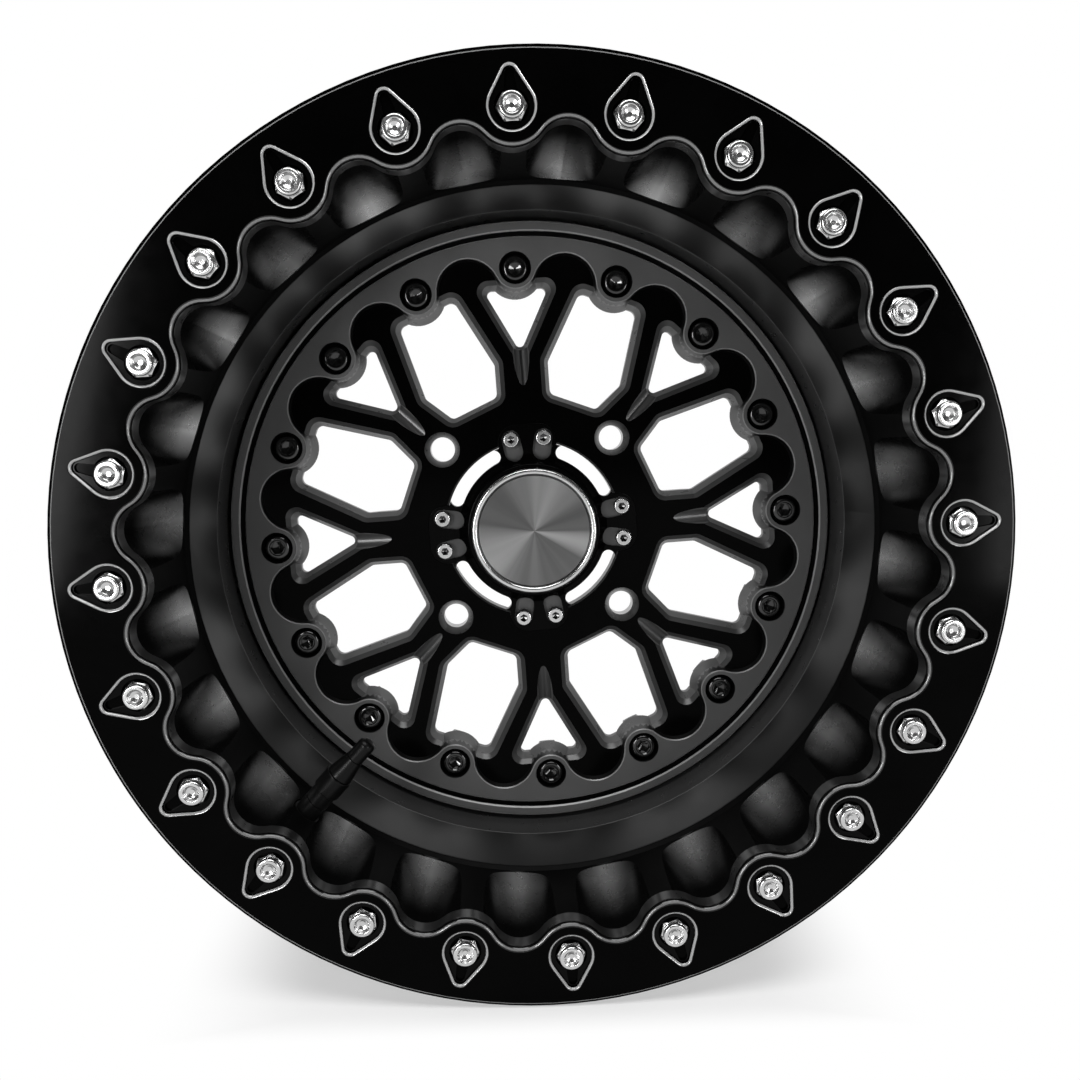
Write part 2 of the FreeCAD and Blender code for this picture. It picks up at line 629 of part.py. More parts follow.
# Outer barrel: turned shell, scooped flutes, threaded bolt holes and the valve hole
shelf_end_z = D.barrel_front_z - D.bead_shelf_width
shoulder_back_z = shelf_end_z - D.shoulder_width
valve_land_end_z = shoulder_back_z - D.valve_land_width
land_end_z = D.barrel_front_z - D.land_length
band_end_z = D.seat_z + D.band_end_above
outer_barrel_blank = revolved("outer_barrel_blank", [
    (D.flange_bore_r, joint_z),
    (D.well_r, joint_z),
    (D.well_r, valve_land_end_z - D.well_slope, 12.0),
    (D.valve_land_r, valve_land_end_z, 6.0),
    (D.valve_land_r, shoulder_back_z, 2.0),
    (D.shoulder_r, shoulder_back_z, 1.5),
    (D.shoulder_r, shelf_end_z, 1.5),
    (D.bead_shelf_r, shelf_end_z, 1.5),
    (D.bead_shelf_r, D.barrel_front_z),
    (D.land_front_r, D.barrel_front_z),
    (D.land_end_r, land_end_z),
    (D.land_end_r - D.band_step, land_end_z - D.band_step, 2.0),
    (D.band_end_r, band_end_z, 1.2),
    (D.pocket_wall_r, band_end_z - (D.pocket_wall_r - D.band_end_r)),
    (D.pocket_wall_r, D.seat_z, 1.5),
    (D.flange_bore_r, D.seat_z),
])


def flute_section(back):
    """Outline of the flute at angle zero, a distance behind the front face."""
    wall_lean = float(D.land_front_r - D.land_end_r) / float(D.land_length)
    front_depth = float(D.flute_floor_r - D.land_front_r)
    depth = front_depth * (1 - back / float(D.flute_length))
    stretch = FreeCAD.Matrix()
    stretch.scale(float(D.flute_rim) + depth, float(D.flute_half_width), 1)
    outline = Part.makeCircle(1).transformGeometry(stretch)
    middle_r = float(D.land_front_r) - wall_lean * back - float(D.flute_rim)
    outline.translate(Vector(middle_r, 0, float(D.barrel_front_z) - back))
    return Part.Wire(outline)


def flute_tool():
    """Scoop that is deep at the front face and runs out toward the hub."""
    lead = 4.0
    past_end = 2.0
    return Part.makeLoft([flute_section(-lead), flute_section(float(D.flute_length) + past_end)], True, True)


half_pitch = 180.0 / RING_BOLTS
flutes = feature("flutes", Part.makeCompound(around(flute_tool(), RING_BOLTS, half_pitch)))
outer_barrel = cut("barrel_fluted", outer_barrel_blank, flutes)


def bolt_holes(radius, pitch, count, z_from, z_to):
    """Ring of straight holes."""
    hole = Part.makeCylinder(float(radius), float(z_to) - float(z_from), Vector(float(pitch), 0, float(z_from)))
    return Part.makeCompound(around(hole, count))


ring_bolt_tip_z = ring_bolt_seat_z - D.ring_bolt_grip
ring_threads = feature("ring_threads", bolt_holes(D.ring_bolt_r + D.thread_clearance, D.ring_bolt_pitch_r,
                                                  RING_BOLTS, ring_bolt_tip_z - 1, D.barrel_front_z + 1))
outer_barrel = cut("barrel_threaded", outer_barrel, ring_threads)
flange_scallop = prism(scalloped_wire(CENTRE_BOLTS, float(D.centre_bolt_pitch_r), float(D.flange_lobe_r),
                                      float(D.flange_notch_r), float(barrel_back_z) - 1),
                       float(barrel_back_z) - 1, float(D.seat_z) + 1)
outer_barrel = cut("barrel_notched", outer_barrel, feature("outer_flange_notches", flange_scallop))
centre_hole_r = D.centre_bolt_r + D.hole_clearance
outer_holes = feature("outer_flange_holes", bolt_holes(centre_hole_r, D.centre_bolt_pitch_r, CENTRE_BOLTS,
                                                       joint_z - 1, D.seat_z + 1))
outer_barrel = cut("barrel_bolted", outer_barrel, outer_holes)

# Valve frame: origin on the seat, Z along the stem toward the dust cap
valve_turn = Rotation(Vector(0, 0, 1), float(D.valve_angle)) * Rotation(Vector(0, 1, 0), float(D.valve_tilt) - 90)
valve_seat = polar(float(D.valve_seat_r), float(D.valve_angle), float(D.barrel_front_z - D.valve_seat_back))
VALVE_SEAT = Placement(valve_seat, valve_turn)
valve_hole_tool = Part.makeCylinder(float(D.valve_hole_r), 60, Vector(0, 0, -40))
spot_tool = Part.makeCylinder(float(D.valve_spot_r), 20)
pocket_tool = Part.makeCylinder(float(D.valve_pocket_r), 20, Vector(0, 0, -20 - float(D.valve_wall)))
valve_tool = valve_hole_tool.fuse([spot_tool, pocket_tool])
valve_tool.Placement = VALVE_SEAT
node(cut("barrel_outer", outer_barrel, feature("valve_opening", valve_tool)), "outer_barrel")

# Inner barrel: flange with the seal groove, drop centre, hump, bead seat and rear flange
hump_r = D.inner_seat_r - D.inner_seat_fall + D.hump_height
seat_start_z = D.hump_z - 4.0
seat_end_z = seat_start_z - D.inner_seat_width
rear_z = seat_end_z - D.rear_flange_width
inner_well_z = joint_z - D.inner_well_length
groove_half = D.seal_section_r + 0.3
groove_depth = 2 * D.seal_section_r
inner_barrel_blank = revolved("inner_barrel_blank", [
    (D.flange_bore_r, barrel_back_z),
    (D.well_r - D.barrel_wall, barrel_back_z, 3.0),
    (D.well_r - D.barrel_wall, inner_well_z, 12.0),
    (hump_r - D.barrel_wall - 1.0, D.hump_z + 2.0, 12.0),
    (hump_r - D.barrel_wall - 1.0, seat_end_z + 1.0, 5.0),
    (D.rear_flange_r - 9.0, rear_z + 1.0, 5.0),
    (D.rear_flange_r - 4.0, rear_z),
    (D.rear_flange_r, rear_z, 2.0),
    (D.rear_flange_r, rear_z + 5.0, 2.2),
    (D.inner_seat_r + 4.0, seat_end_z, 4.0),
    (D.inner_seat_r, seat_end_z + 2.0),
    (D.inner_seat_r - D.inner_seat_fall, seat_start_z),
    (hump_r, D.hump_z, 4.0),
    (hump_r - 6.0, D.hump_z + 8.0, 4.0),
    (D.well_r, inner_well_z, 12.0),
    (D.well_r, joint_z),
    (D.seal_r + groove_half, joint_z),
    (D.seal_r + groove_half, joint_z - groove_depth),
    (D.seal_r - groove_half, joint_z - groove_depth),
    (D.seal_r - groove_half, joint_z),
    (D.flange_bore_r, joint_z),
])
inner_holes = feature("inner_flange_holes", bolt_holes(centre_hole_r, D.centre_bolt_pitch_r, CENTRE_BOLTS,
                                                       barrel_back_z - 1, joint_z + 1))
inner_barrel = cut("inner_barrel_notched", inner_barrel_blank, feature("inner_flange_notches", flange_scallop))
node(cut("barrel_inner", inner_barrel, inner_holes), "inner_barrel")

# Joint seal between the two barrels
barrel_seal = doc.addObject("Part::Torus", "seal_ring")
bind(barrel_seal, Radius1=D.seal_r, Radius2=D.seal_section_r)
seal_shift = Placement(Vector(0, 0, float(joint_z - D.seal_section_r)), Rotation())
node(barrel_seal, "barrel_seal", WHEEL * seal_shift)

# Centre disc, hub and spokes: turned plate with bevelled windows and a scallop below each fork
spigot_r = D.flange_bore_r - D.hole_clearance
disc_plate = revolved("disc_plate", [
    (D.pilot_r, 0.0),
    (D.hub_pad_r, 0.0),
    (D.hub_pad_r + 2 * D.spoke_back_z, D.spoke_back_z),
    (spigot_r - 1.0, D.spoke_back_z),
    (spigot_r, D.spoke_back_z + 1.0),
    (spigot_r, D.seat_z),
    (D.recess_top_r + 4.0, D.seat_z),
    (D.recess_top_r + 4.0, D.spoke_face_z),
    (D.bore_r + 1.0, D.spoke_face_z),
    (D.bore_r, D.spoke_face_z - 1.0),
    (D.bore_r, D.pilot_depth),
    (D.pilot_r, D.pilot_depth),
])


def bevelled_window(points, radius):
    """Window tool with two bevels at the front and straight walls behind."""
    face = float(D.spoke_face_z)
    first_in = float(D.chamfer_in)
    second_in = first_in + float(D.draft_in)
    first_z = face - float(D.chamfer_down)
    second_z = first_z - float(D.draft_down)
    front = rounded_wire(points, radius, face)
    middle = rounded_wire(inset(points, first_in), radius - first_in * 0.75, first_z)
    throat = rounded_wire(inset(points, second_in), radius - second_in * 0.75, second_z)
    upper = ruled_solid(middle, front)
    lower = ruled_solid(throat, middle)
    straight = prism(throat, second_z, -2.0)
    return straight.fuse([lower, upper])


def large_window(mirrored):
    """Window between two spokes, on the X axis; its foot keeps clear of the stud seat on one side."""
    half = math.pi / SPOKES
    trunk = float(D.trunk_half)
    fork = float(D.fork_at)
    kink = Vector(fork * math.cos(half) + trunk * math.sin(half), fork * math.sin(half) - trunk * math.cos(half), 0)
    lean = math.tan(math.radians(float(D.arm_angle)) - half)
    top = float(D.window_top)
    foot = float(D.window_foot)
    top_side = kink.y - (top - kink.x) * lean
    foot_side = foot * math.tan(half) - trunk / math.cos(half)
    lug_side = foot_side - float(D.window_lug_shift)
    points = [
        Vector(foot, -foot_side, 0),
        Vector(kink.x, -kink.y, 0),
        Vector(top, -top_side, 0),
        Vector(top, top_side, 0),
        kink,
        Vector(foot, lug_side, 0),
    ]
    if mirrored:
        points = [Vector(point.x, -point.y, 0) for point in reversed(points)]
    return bevelled_window(points, float(D.window_round))


def small_window():
    """Window inside a fork, on the X axis."""
    apex = float(D.fork_apex)
    top = float(D.fork_top)
    side = (top - apex) * math.tan(math.radians(float(D.fork_angle)))
    points = [Vector(apex, 0, 0), Vector(top, -side, 0), Vector(top, side, 0)]
    return bevelled_window(points, float(D.fork_round))


def fork_scallop():
    """Leaning round cutter that leaves a spear-shaped scallop pointing at the hub."""
    radius = float(D.scallop_r)
    slope = float(D.scallop_slope)
    run = float(D.fork_apex) - float(D.scallop_tip) + 3 * radius
    tool = Part.makeCylinder(radius, run, Vector(0, 0, 0), Vector(1, 0, 0))
    tool.translate(Vector(-radius * math.sin(math.radians(slope)), 0, radius * math.cos(math.radians(slope))))
    tool.rotate(Vector(), Vector(0, 1, 0), slope)
    tool.translate(Vector(float(D.scallop_tip), 0, float(D.spoke_face_z)))
    return tool


spoke_step = 360.0 / SPOKES
window_tools = around(large_window(False), LUGS, spoke_step / 2)
window_tools += around(large_window(True), LUGS, spoke_step * 1.5)
window_tools += around(small_window(), SPOKES)
disc_windowed = cut("disc_windowed", disc_plate, feature("windows", Part.makeCompound(window_tools)))
scallops = feature("fork_scallops", Part.makeCompound(around(fork_scallop(), SPOKES)))
disc_scalloped = cut("disc_scalloped", disc_windowed, scallops)

# Centre disc, flange: grooved rim with a tongue round each bolt and a recess at each arm
tongue_back_r = D.centre_bolt_pitch_r - D.tongue_r - D.tongue_draft - D.tongue_bevel - 6.0
lip_top_z = disc_face_z + D.lip_height
groove_end_r = D.face_outer_r + D.groove_width
disc_flange = revolved("disc_flange", [
    (tongue_back_r, D.seat_z),
    (D.disc_outer_r, D.seat_z),
    (D.disc_outer_r, lip_top_z - D.lip_chamfer),
    (D.disc_outer_r - D.lip_chamfer, lip_top_z),
    (groove_end_r + D.lip_chamfer, lip_top_z),
    (groove_end_r, lip_top_z - D.lip_chamfer),
    (groove_end_r, disc_face_z - D.groove_depth),
    (D.face_outer_r, disc_face_z - D.groove_depth),
    (D.face_outer_r, disc_face_z - 0.5),
    (D.face_outer_r - 0.5, disc_face_z),
    (tongue_back_r, disc_face_z),
])


def flange_edge(z, grow=0.0):
    return scalloped_wire(CENTRE_BOLTS, float(D.centre_bolt_pitch_r), float(D.tongue_r),
                          float(D.recess_top_r), z, grow)


flange_levels = (
    (float(D.seat_z), -float(D.tongue_draft + D.tongue_bevel)),
    (float(D.spoke_face_z) - float(D.tongue_draft), -float(D.tongue_draft)),
    (float(disc_face_z - D.tongue_edge), 0.0),
    (float(disc_face_z), float(D.tongue_edge)),
)
disc_tongued = disc_flange
for level, (lower, upper) in enumerate(zip(flange_levels, flange_levels[1:])):
    opening = ruled_solid(flange_edge(*lower), flange_edge(*upper))
    disc_tongued = cut(f"disc_tongued_{level}", disc_tongued, feature(f"flange_opening_{level}", opening))
disc = fuse("disc_joined", disc_scalloped, disc_tongued)

# Centre disc, holes: counterbored bolt holes, cone-seated stud holes, cap recesses and cap screw threads
counterbore_r = D.centre_head_r + D.centre_well_gap
counterbores = feature("centre_counterbores", bolt_holes(counterbore_r, D.centre_bolt_pitch_r, CENTRE_BOLTS,
                                                         centre_bolt_seat_z, lip_top_z))
disc = cut("disc_counterbored", disc, counterbores)
well_edge = Part.makeCone(float(counterbore_r), float(counterbore_r + D.centre_well_edge), float(D.centre_well_edge),
                          Vector(float(D.centre_bolt_pitch_r), 0, float(disc_face_z - D.centre_well_edge)))
well_edges = feature("counterbore_edges", Part.makeCompound(around(well_edge, CENTRE_BOLTS)))
disc = cut("disc_well_edges", disc, well_edges)
disc_holes = feature("disc_bolt_holes", bolt_holes(centre_hole_r, D.centre_bolt_pitch_r, CENTRE_BOLTS,
                                                   0.0, disc_face_z))
disc = cut("disc_drilled", disc, disc_holes)


def stud_hole():
    """Stud hole tool on the X axis with its cone seat."""
    face = float(D.spoke_face_z)
    depth = float(D.lug_cone_depth)
    pitch = float(D.lug_pitch_r)
    hole = Part.makeCylinder(float(D.lug_hole_r), face + 2, Vector(pitch, 0, -1))
    cone = Part.makeCone(float(D.lug_hole_r), float(D.lug_cone_r), depth, Vector(pitch, 0, face - depth))
    return hole.fuse(cone)


disc = cut("disc_studded", disc, feature("stud_holes", Part.makeCompound(around(stud_hole(), LUGS, spoke_step))))


def tab_wire(z, grow=0.0):
    """Outline of the cap tab on the X axis, from inside the cap ring to the tab's end."""
    half = float(D.tab_half) + grow
    end = float(D.tab_reach) + grow
    start = float(D.cap_hollow_r) + 3.0
    radius = float(D.tab_round) + grow
    bend = radius * math.sqrt(0.5)
    low = [Vector(start, -half, z), Vector(end - radius, -half, z), Vector(end, radius - half, z)]
    high = [Vector(end, half - radius, z), Vector(end - radius, half, z), Vector(start, half, z)]
    low_mid = Vector(end - radius + bend, radius - half - bend, z)
    high_mid = Vector(end - radius + bend, half - radius + bend, z)
    return Part.Wire([
        Part.LineSegment(low[0], low[1]).toShape(),
        Part.Arc(low[1], low_mid, low[2]).toShape(),
        Part.LineSegment(low[2], high[0]).toShape(),
        Part.Arc(high[0], high_mid, high[1]).toShape(),
        Part.LineSegment(high[1], high[2]).toShape(),
        Part.LineSegment(high[2], low[0]).toShape(),
    ])


cap_seat = float(D.cap_seat_z)
tab_recess = prism(tab_wire(cap_seat, float(D.hole_clearance)), cap_seat, float(D.spoke_face_z) + 1)
disc = cut("disc_recessed", disc, feature("tab_recesses", Part.makeCompound(around(tab_recess, CAP_TABS))))
screw_places = [Vector(float(D.screw_out), side * float(D.screw_side), 0) for side in (-1, 1)]


def at_screws(shape):
    """Copies of a shape at every cap screw."""
    copies = []
    for place in screw_places:
        copy = shape.copy()
        copy.translate(place)
        copies += around(copy, CAP_TABS)
    return copies


screw_thread = Part.makeCylinder(float(D.screw_r + D.thread_clearance), cap_seat + 1)
disc = cut("disc_threaded", disc, feature("screw_threads", Part.makeCompound(at_screws(screw_thread))))
node(disc, "centre_disc")

# Centre bolts with socket heads, and their nuts behind the barrel flanges
nut_face_z = barrel_back_z - D.centre_nut_height
socket_rim_r = D.centre_socket_flats / math.sqrt(3) + D.centre_socket_rim
centre_bolt_turned = revolved("centre_bolt_turned", [
    (0.0, nut_face_z - D.centre_bolt_stub),
    (D.centre_bolt_r - 1.0, nut_face_z - D.centre_bolt_stub),
    (D.centre_bolt_r, nut_face_z - D.centre_bolt_stub + 1.0),
    (D.centre_bolt_r, centre_bolt_seat_z),
    (D.centre_head_r, centre_bolt_seat_z),
    (D.centre_head_r, centre_head_top_z, D.centre_head_round),
    (socket_rim_r, centre_head_top_z),
    (socket_rim_r - D.centre_socket_rim, centre_head_top_z - D.centre_socket_rim),
    (0.0, centre_head_top_z - D.centre_socket_rim),
])
centre_socket = doc.addObject("Part::Prism", "centre_socket")
bind(centre_socket, Circumradius=D.centre_socket_flats / math.sqrt(3), Height=D.centre_socket_depth + 1)
bind(centre_socket, **{"Placement.Base.z": centre_head_top_z - D.centre_socket_depth})
centre_point = doc.addObject("Part::Cone", "centre_point")
bind(centre_point, Radius1=0.0, Radius2=D.centre_socket_flats * 0.49, Height=D.centre_socket_point)
bind(centre_point, **{"Placement.Base.z": centre_head_top_z - D.centre_socket_depth - D.centre_socket_point})
centre_bolt = cut("centre_bolt", cut("centre_bolt_hex", centre_bolt_turned, centre_socket), centre_point)
one_bolt = centre_bolt.Shape.copy()
one_bolt.translate(Vector(float(D.centre_bolt_pitch_r), 0, 0))
node(feature("centre_bolt_set", Part.makeCompound(around(one_bolt, CENTRE_BOLTS))), "centre_bolts")

nut_hexagon = doc.addObject("Part::Prism", "nut_hexagon")
bind(nut_hexagon, Circumradius=D.centre_nut_flats / math.sqrt(3), Height=D.centre_nut_height)
nut_hexagon.Placement = Placement(Vector(), Rotation(Vector(0, 0, 1), 30))
bind(nut_hexagon, **{"Placement.Base.z": nut_face_z})
nut_corner_r = D.centre_nut_flats / math.sqrt(3)
nut_turned = revolved("nut_turned", [
    (D.centre_bolt_r + D.thread_clearance, nut_face_z),
    (D.centre_nut_flats * 0.49, nut_face_z),
    (nut_corner_r, nut_face_z + 0.8),
    (nut_corner_r, barrel_back_z),
    (D.centre_bolt_r + D.thread_clearance, barrel_back_z),
])
centre_nut = doc.addObject("Part::Common", "centre_nut")
centre_nut.Base = nut_turned
centre_nut.Tool = nut_hexagon
doc.recompute()
one_nut = centre_nut.Shape.copy()
one_nut.translate(Vector(float(D.centre_bolt_pitch_r), 0, 0))
node(feature("centre_nut_set", Part.makeCompound(around(one_nut, CENTRE_BOLTS))), "centre_nuts")

# Hub cap base: turned cover with four tabs, open arcs between them and a slot for each screw
cap_cover = revolved("cap_cover", [
    (D.cap_hollow_r, D.cap_back_z),
    (D.cap_ring_r, D.cap_back_z),
    (D.cap_ring_r, D.cap_tab_top_z),
    (D.cap_deck_r, D.cap_deck_z, 1.5),
    (0.0, D.cap_deck_z),
    (0.0, D.cap_deck_z - D.cap_deck_thickness),
    (D.cap_hollow_r, D.cap_deck_z - D.cap_deck_thickness, 2.0),
])


def tab_plate():
    """Four tabs with rounded open arcs between them."""
    top = float(D.cap_tab_top_z)
    ring_r = float(D.cap_ring_r)
    gap_r = float(D.cap_gap_r)
    rim_r = float(D.bore_r - D.hole_clearance)
    hollow = Part.makeCylinder(float(D.cap_hollow_r) + 1.0, top - cap_seat, Vector(0, 0, cap_seat))
    disk = Part.makeCylinder(rim_r, top - cap_seat, Vector(0, 0, cap_seat))
    tabs = [prism(tab, cap_seat, top) for tab in around(tab_wire(cap_seat), CAP_TABS)]
    middle_r = (ring_r + gap_r) / 2
    end_r = (gap_r - ring_r) / 2
    spread = 45.0 - math.degrees(math.asin((float(D.tab_half) + end_r - 0.8) / middle_r))
    outer = Part.makeCylinder(gap_r, 20, Vector(0, 0, 0), Vector(0, 0, 1), 2 * spread)
    inner = Part.makeCylinder(ring_r, 20, Vector(0, 0, 0), Vector(0, 0, 1), 2 * spread)
    arc = outer.cut(inner)
    ends = [Part.makeCylinder(end_r, 20, polar(middle_r, angle)) for angle in (0.0, 2 * spread)]
    arc = arc.fuse(ends)
    plate = disk.fuse(tabs).cut(hollow)
    return plate.cut(around(arc, CAP_TABS, 45.0 - spread))


cap_joined = fuse("cap_joined", cap_cover, feature("cap_tabs", tab_plate()))


def screw_slot(place):
    """Radial slot tool from a screw toward the cap's middle."""
    inward = (place * -1.0).normalize()
    floor = float(D.slot_floor_z)
    lift = Vector(0, 0, floor)
    wire = capsule_wire(place + lift, float(D.slot_r), place + lift + inward * (float(D.slot_length) - float(D.slot_r)),
                        float(D.slot_r))
    return prism(wire, floor, floor + 20)


slots = []
for place in screw_places:
    slots += around(screw_slot(place), CAP_TABS)
cap_slotted = cut("cap_slotted", cap_joined, feature("screw_slots", Part.makeCompound(slots)))
screw_clear = Part.makeCylinder(float(D.screw_r + D.hole_clearance), 20)
node(cut("cap", cap_slotted, feature("screw_holes", Part.makeCompound(at_screws(screw_clear)))), "cap_base")

# Cap screws with socket heads
screw_turned = revolved("screw_turned", [
    (0.0, D.slot_floor_z - D.screw_reach),
    (D.screw_r, D.slot_floor_z - D.screw_reach),
    (D.screw_r, D.slot_floor_z),
    (D.screw_head_r, D.slot_floor_z),
    (D.screw_head_r, D.slot_floor_z + D.screw_head, 0.7),
    (0.0, D.slot_floor_z + D.screw_head),
])
screw_socket = doc.addObject("Part::Prism", "screw_socket")
bind(screw_socket, Circumradius=D.screw_socket_flats / math.sqrt(3), Height=D.screw_socket_depth + 1)
bind(screw_socket, **{"Placement.Base.z": D.slot_floor_z + D.screw_head - D.screw_socket_depth})
screw_point = doc.addObject("Part::Cone", "screw_point")
bind(screw_point, Radius1=0.0, Radius2=D.screw_socket_flats * 0.49, Height=D.screw_socket_point)
bind(screw_point, **{"Placement.Base.z": D.slot_floor_z + D.screw_head - D.screw_socket_depth
                     - D.screw_socket_point})
cap_screw = cut("cap_screw", cut("cap_screw_hex", screw_turned, screw_socket), screw_point)
node(feature("cap_screw_set", Part.makeCompound(at_screws(cap_screw.Shape))), "cap_screws")

# Polished bezel and brushed plate on the cap's deck
node(revolved("bezel", [
    (D.bezel_inner_r, D.cap_deck_z),
    (D.bezel_outer_r, D.cap_deck_z),
    (D.bezel_outer_r, D.cap_deck_z + D.bezel_height, D.bezel_round),
    (D.bezel_inner_r, D.cap_deck_z + D.bezel_height, D.bezel_round),
]), "cap_bezel")
plate_r = D.bezel_inner_r - D.plate_gap
node(revolved("plate", [
    (0.0, D.cap_deck_z),
    (plate_r, D.cap_deck_z),
    (plate_r, D.cap_deck_z + D.plate_thickness - D.plate_edge),
    (plate_r - D.plate_edge, D.cap_deck_z + D.plate_thickness),
    (0.0, D.cap_deck_z + D.plate_thickness),
]), "cap_plate")

# Valve: pieces turned about the stem, in the valve frame
VALVE = WHEEL * VALVE_SEAT
grommet_back = -D.valve_wall - D.grommet_flange
stem_fit_r = D.stem_r + D.thread_clearance
node(revolved("grommet", [
    (stem_fit_r, grommet_back),
    (D.grommet_r, grommet_back, 1.0),
    (D.grommet_r, -D.valve_wall),
    (D.valve_hole_r - D.thread_clearance, -D.valve_wall),
    (D.valve_hole_r - D.thread_clearance, 0.0),
    (stem_fit_r, 0.0),
]), "valve_grommet", VALVE)
node(revolved("washer", [
    (stem_fit_r, 0.0),
    (D.washer_r, 0.0),
    (D.washer_r, D.washer_thickness, 0.4),
    (stem_fit_r, D.washer_thickness),
]), "valve_washer", VALVE)
node(revolved("clamp_nut", [
    (stem_fit_r, D.washer_thickness),
    (D.nut_r, D.washer_thickness),
    (D.nut_r, D.nut_ring_at),
    (D.nut_r - D.ring_line, D.nut_ring_at + D.ring_line / 2),
    (D.nut_r, D.nut_ring_at + D.ring_line),
    (D.nut_r, D.nut_top),
    (stem_fit_r, D.nut_top),
]), "valve_nut", VALVE)
node(revolved("sleeve", [
    (stem_fit_r, D.nut_top),
    (D.collar_r, D.nut_top, 0.6),
    (D.collar_r, D.collar_top, 0.6),
    (D.cone_foot_r - D.ring_line, D.collar_top),
    (D.cone_foot_r - D.ring_line, D.collar_top + D.ring_line),
    (D.cone_foot_r, D.collar_top + D.ring_line),
    (D.cone_tip_r, D.cone_top),
    (stem_fit_r, D.cone_top),
]), "valve_sleeve", VALVE)
head_back = grommet_back - D.stem_head
thread_foot = D.cone_top - 1.0
node(revolved("stem", [
    (D.stem_bore_r, head_back),
    (D.stem_head_r, head_back, 0.8),
    (D.stem_head_r, grommet_back),
    (D.stem_r, grommet_back),
    (D.stem_r, thread_foot),
    (D.cap_thread_r, thread_foot),
    (D.cap_thread_r, D.stem_top),
    (D.stem_bore_r, D.stem_top),
]), "valve_stem", VALVE)
core_seat_z = D.core_bottom + D.core_seat_depth
node(revolved("core", [
    (D.core_seat_r, D.core_bottom),
    (D.stem_bore_r - D.thread_clearance, D.core_bottom),
    (D.stem_bore_r - D.thread_clearance, D.core_top),
    (D.core_bore_r, D.core_top),
    (D.core_bore_r, core_seat_z),
    (D.core_seat_r, core_seat_z),
]), "valve_core", VALVE)
node(revolved("pin", [
    (0.0, core_seat_z - D.pin_plug),
    (D.core_seat_r - 0.2, core_seat_z - D.pin_plug),
    (D.core_seat_r - 0.2, core_seat_z),
    (D.pin_r, core_seat_z),
    (D.pin_r, D.pin_top),
    (0.0, D.pin_top),
]), "valve_pin", VALVE)
dust_cap_foot = D.cone_top + D.dust_cap_gap
dust_bore_r = D.cap_thread_r + D.thread_clearance
dust_roof = D.stem_top + D.dust_seal_thickness
node(revolved("dust_cap", [
    (dust_bore_r, dust_cap_foot),
    (D.dust_cap_r, dust_cap_foot),
    (D.dust_cap_r, D.dust_cap_top, D.dust_cap_round),
    (0.0, D.dust_cap_top),
    (0.0, dust_roof),
    (dust_bore_r, dust_roof),
]), "valve_cap", VALVE)
node(revolved("dust_seal", [
    (D.dust_seal_bore_r, D.stem_top),
    (dust_bore_r - D.thread_clearance, D.stem_top),
    (dust_bore_r - D.thread_clearance, dust_roof),
    (D.dust_seal_bore_r, dust_roof),
]), "valve_cap_seal", VALVE)

# Check every object and sub-part, then write one file for each sub-part
doc.recompute()
for obj in doc.Objects:
    if "Invalid" in obj.State or "Error" in obj.State:
        raise RuntimeError(f"{obj.Label} failed: {obj.State}")
os.makedirs("parts", exist_ok=True)
for obj in NODES:
    if obj.Shape.isNull() or not obj.Shape.isValid():
        raise RuntimeError(f"{obj.Label} has no valid shape")
for obj in NODES:
    obj.Shape.exportStep(os.path.join("parts", obj.Label + ".step"))
    print(f"{obj.Label}: {len(obj.Shape.Solids)} solids, {obj.Shape.Volume / 1000:.1f} cm3")
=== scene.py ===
"""Studio scene for the beadlock wheel: finishes for every CAD node, soft light and the camera."""

import math

import bpy
import numpy as np
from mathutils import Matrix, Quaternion, Vector


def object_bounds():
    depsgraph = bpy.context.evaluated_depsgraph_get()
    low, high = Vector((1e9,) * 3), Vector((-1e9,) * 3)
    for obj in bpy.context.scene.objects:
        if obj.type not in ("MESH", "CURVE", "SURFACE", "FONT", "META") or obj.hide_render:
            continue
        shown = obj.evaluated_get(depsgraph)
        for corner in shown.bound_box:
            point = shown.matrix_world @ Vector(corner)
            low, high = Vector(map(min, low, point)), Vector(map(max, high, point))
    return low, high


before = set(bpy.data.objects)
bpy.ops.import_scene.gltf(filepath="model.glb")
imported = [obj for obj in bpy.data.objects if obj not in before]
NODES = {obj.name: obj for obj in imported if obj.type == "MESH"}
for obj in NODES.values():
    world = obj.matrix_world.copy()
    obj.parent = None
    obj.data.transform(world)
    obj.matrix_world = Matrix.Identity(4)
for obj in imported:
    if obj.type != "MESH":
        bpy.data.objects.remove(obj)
cad_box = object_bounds()
MM = 0.001
WHITE = (1.0, 1.0, 1.0)

# Sizes for the finishes: heights in front of the hub face and radii in millimetres, angles in degrees
CLOCKING = 4.12
QUARTER_TURN = 90.0
RING_FACE = 124.7
RING_BOLT_HEX = 123.6
RING_WALL_R = 200.0
RING_RIM_R = 221.2
RING_PITCH_R = 198.0
POCKET_R = 13.0
POCKET_DEPTH = 1.9
FLUTE_STEP = 15.0
FLUTE_END = 72.5
LAND_LOW_R = 179.0
LAND_HIGH_R = 182.4
BAND_END = 40.5
DISC_FACE = 18.0
SPOKE_FACE = 14.0
WINDOW_FOOT = 5.9
EDGE_FOOT = 17.1
BOLT_PITCH_R = 145.6
BOLT_STEP = 22.5
BOLT_WELL_R = 9.2
GROOVE_LOW_R = 162.3
GROOVE_HIGH_R = 165.0
LUG_PITCH_R = 68.5
LUG_START = 45.0
LUG_REACH = 10.3
LUG_CONE_DEPTH = 5.2
SLOT_FLOOR = 12.3
SCREW_PITCH_R = 52.22
SCREW_TURN = 10.2
SCREW_TOP = 17.3
SOCKET_R = 2.45

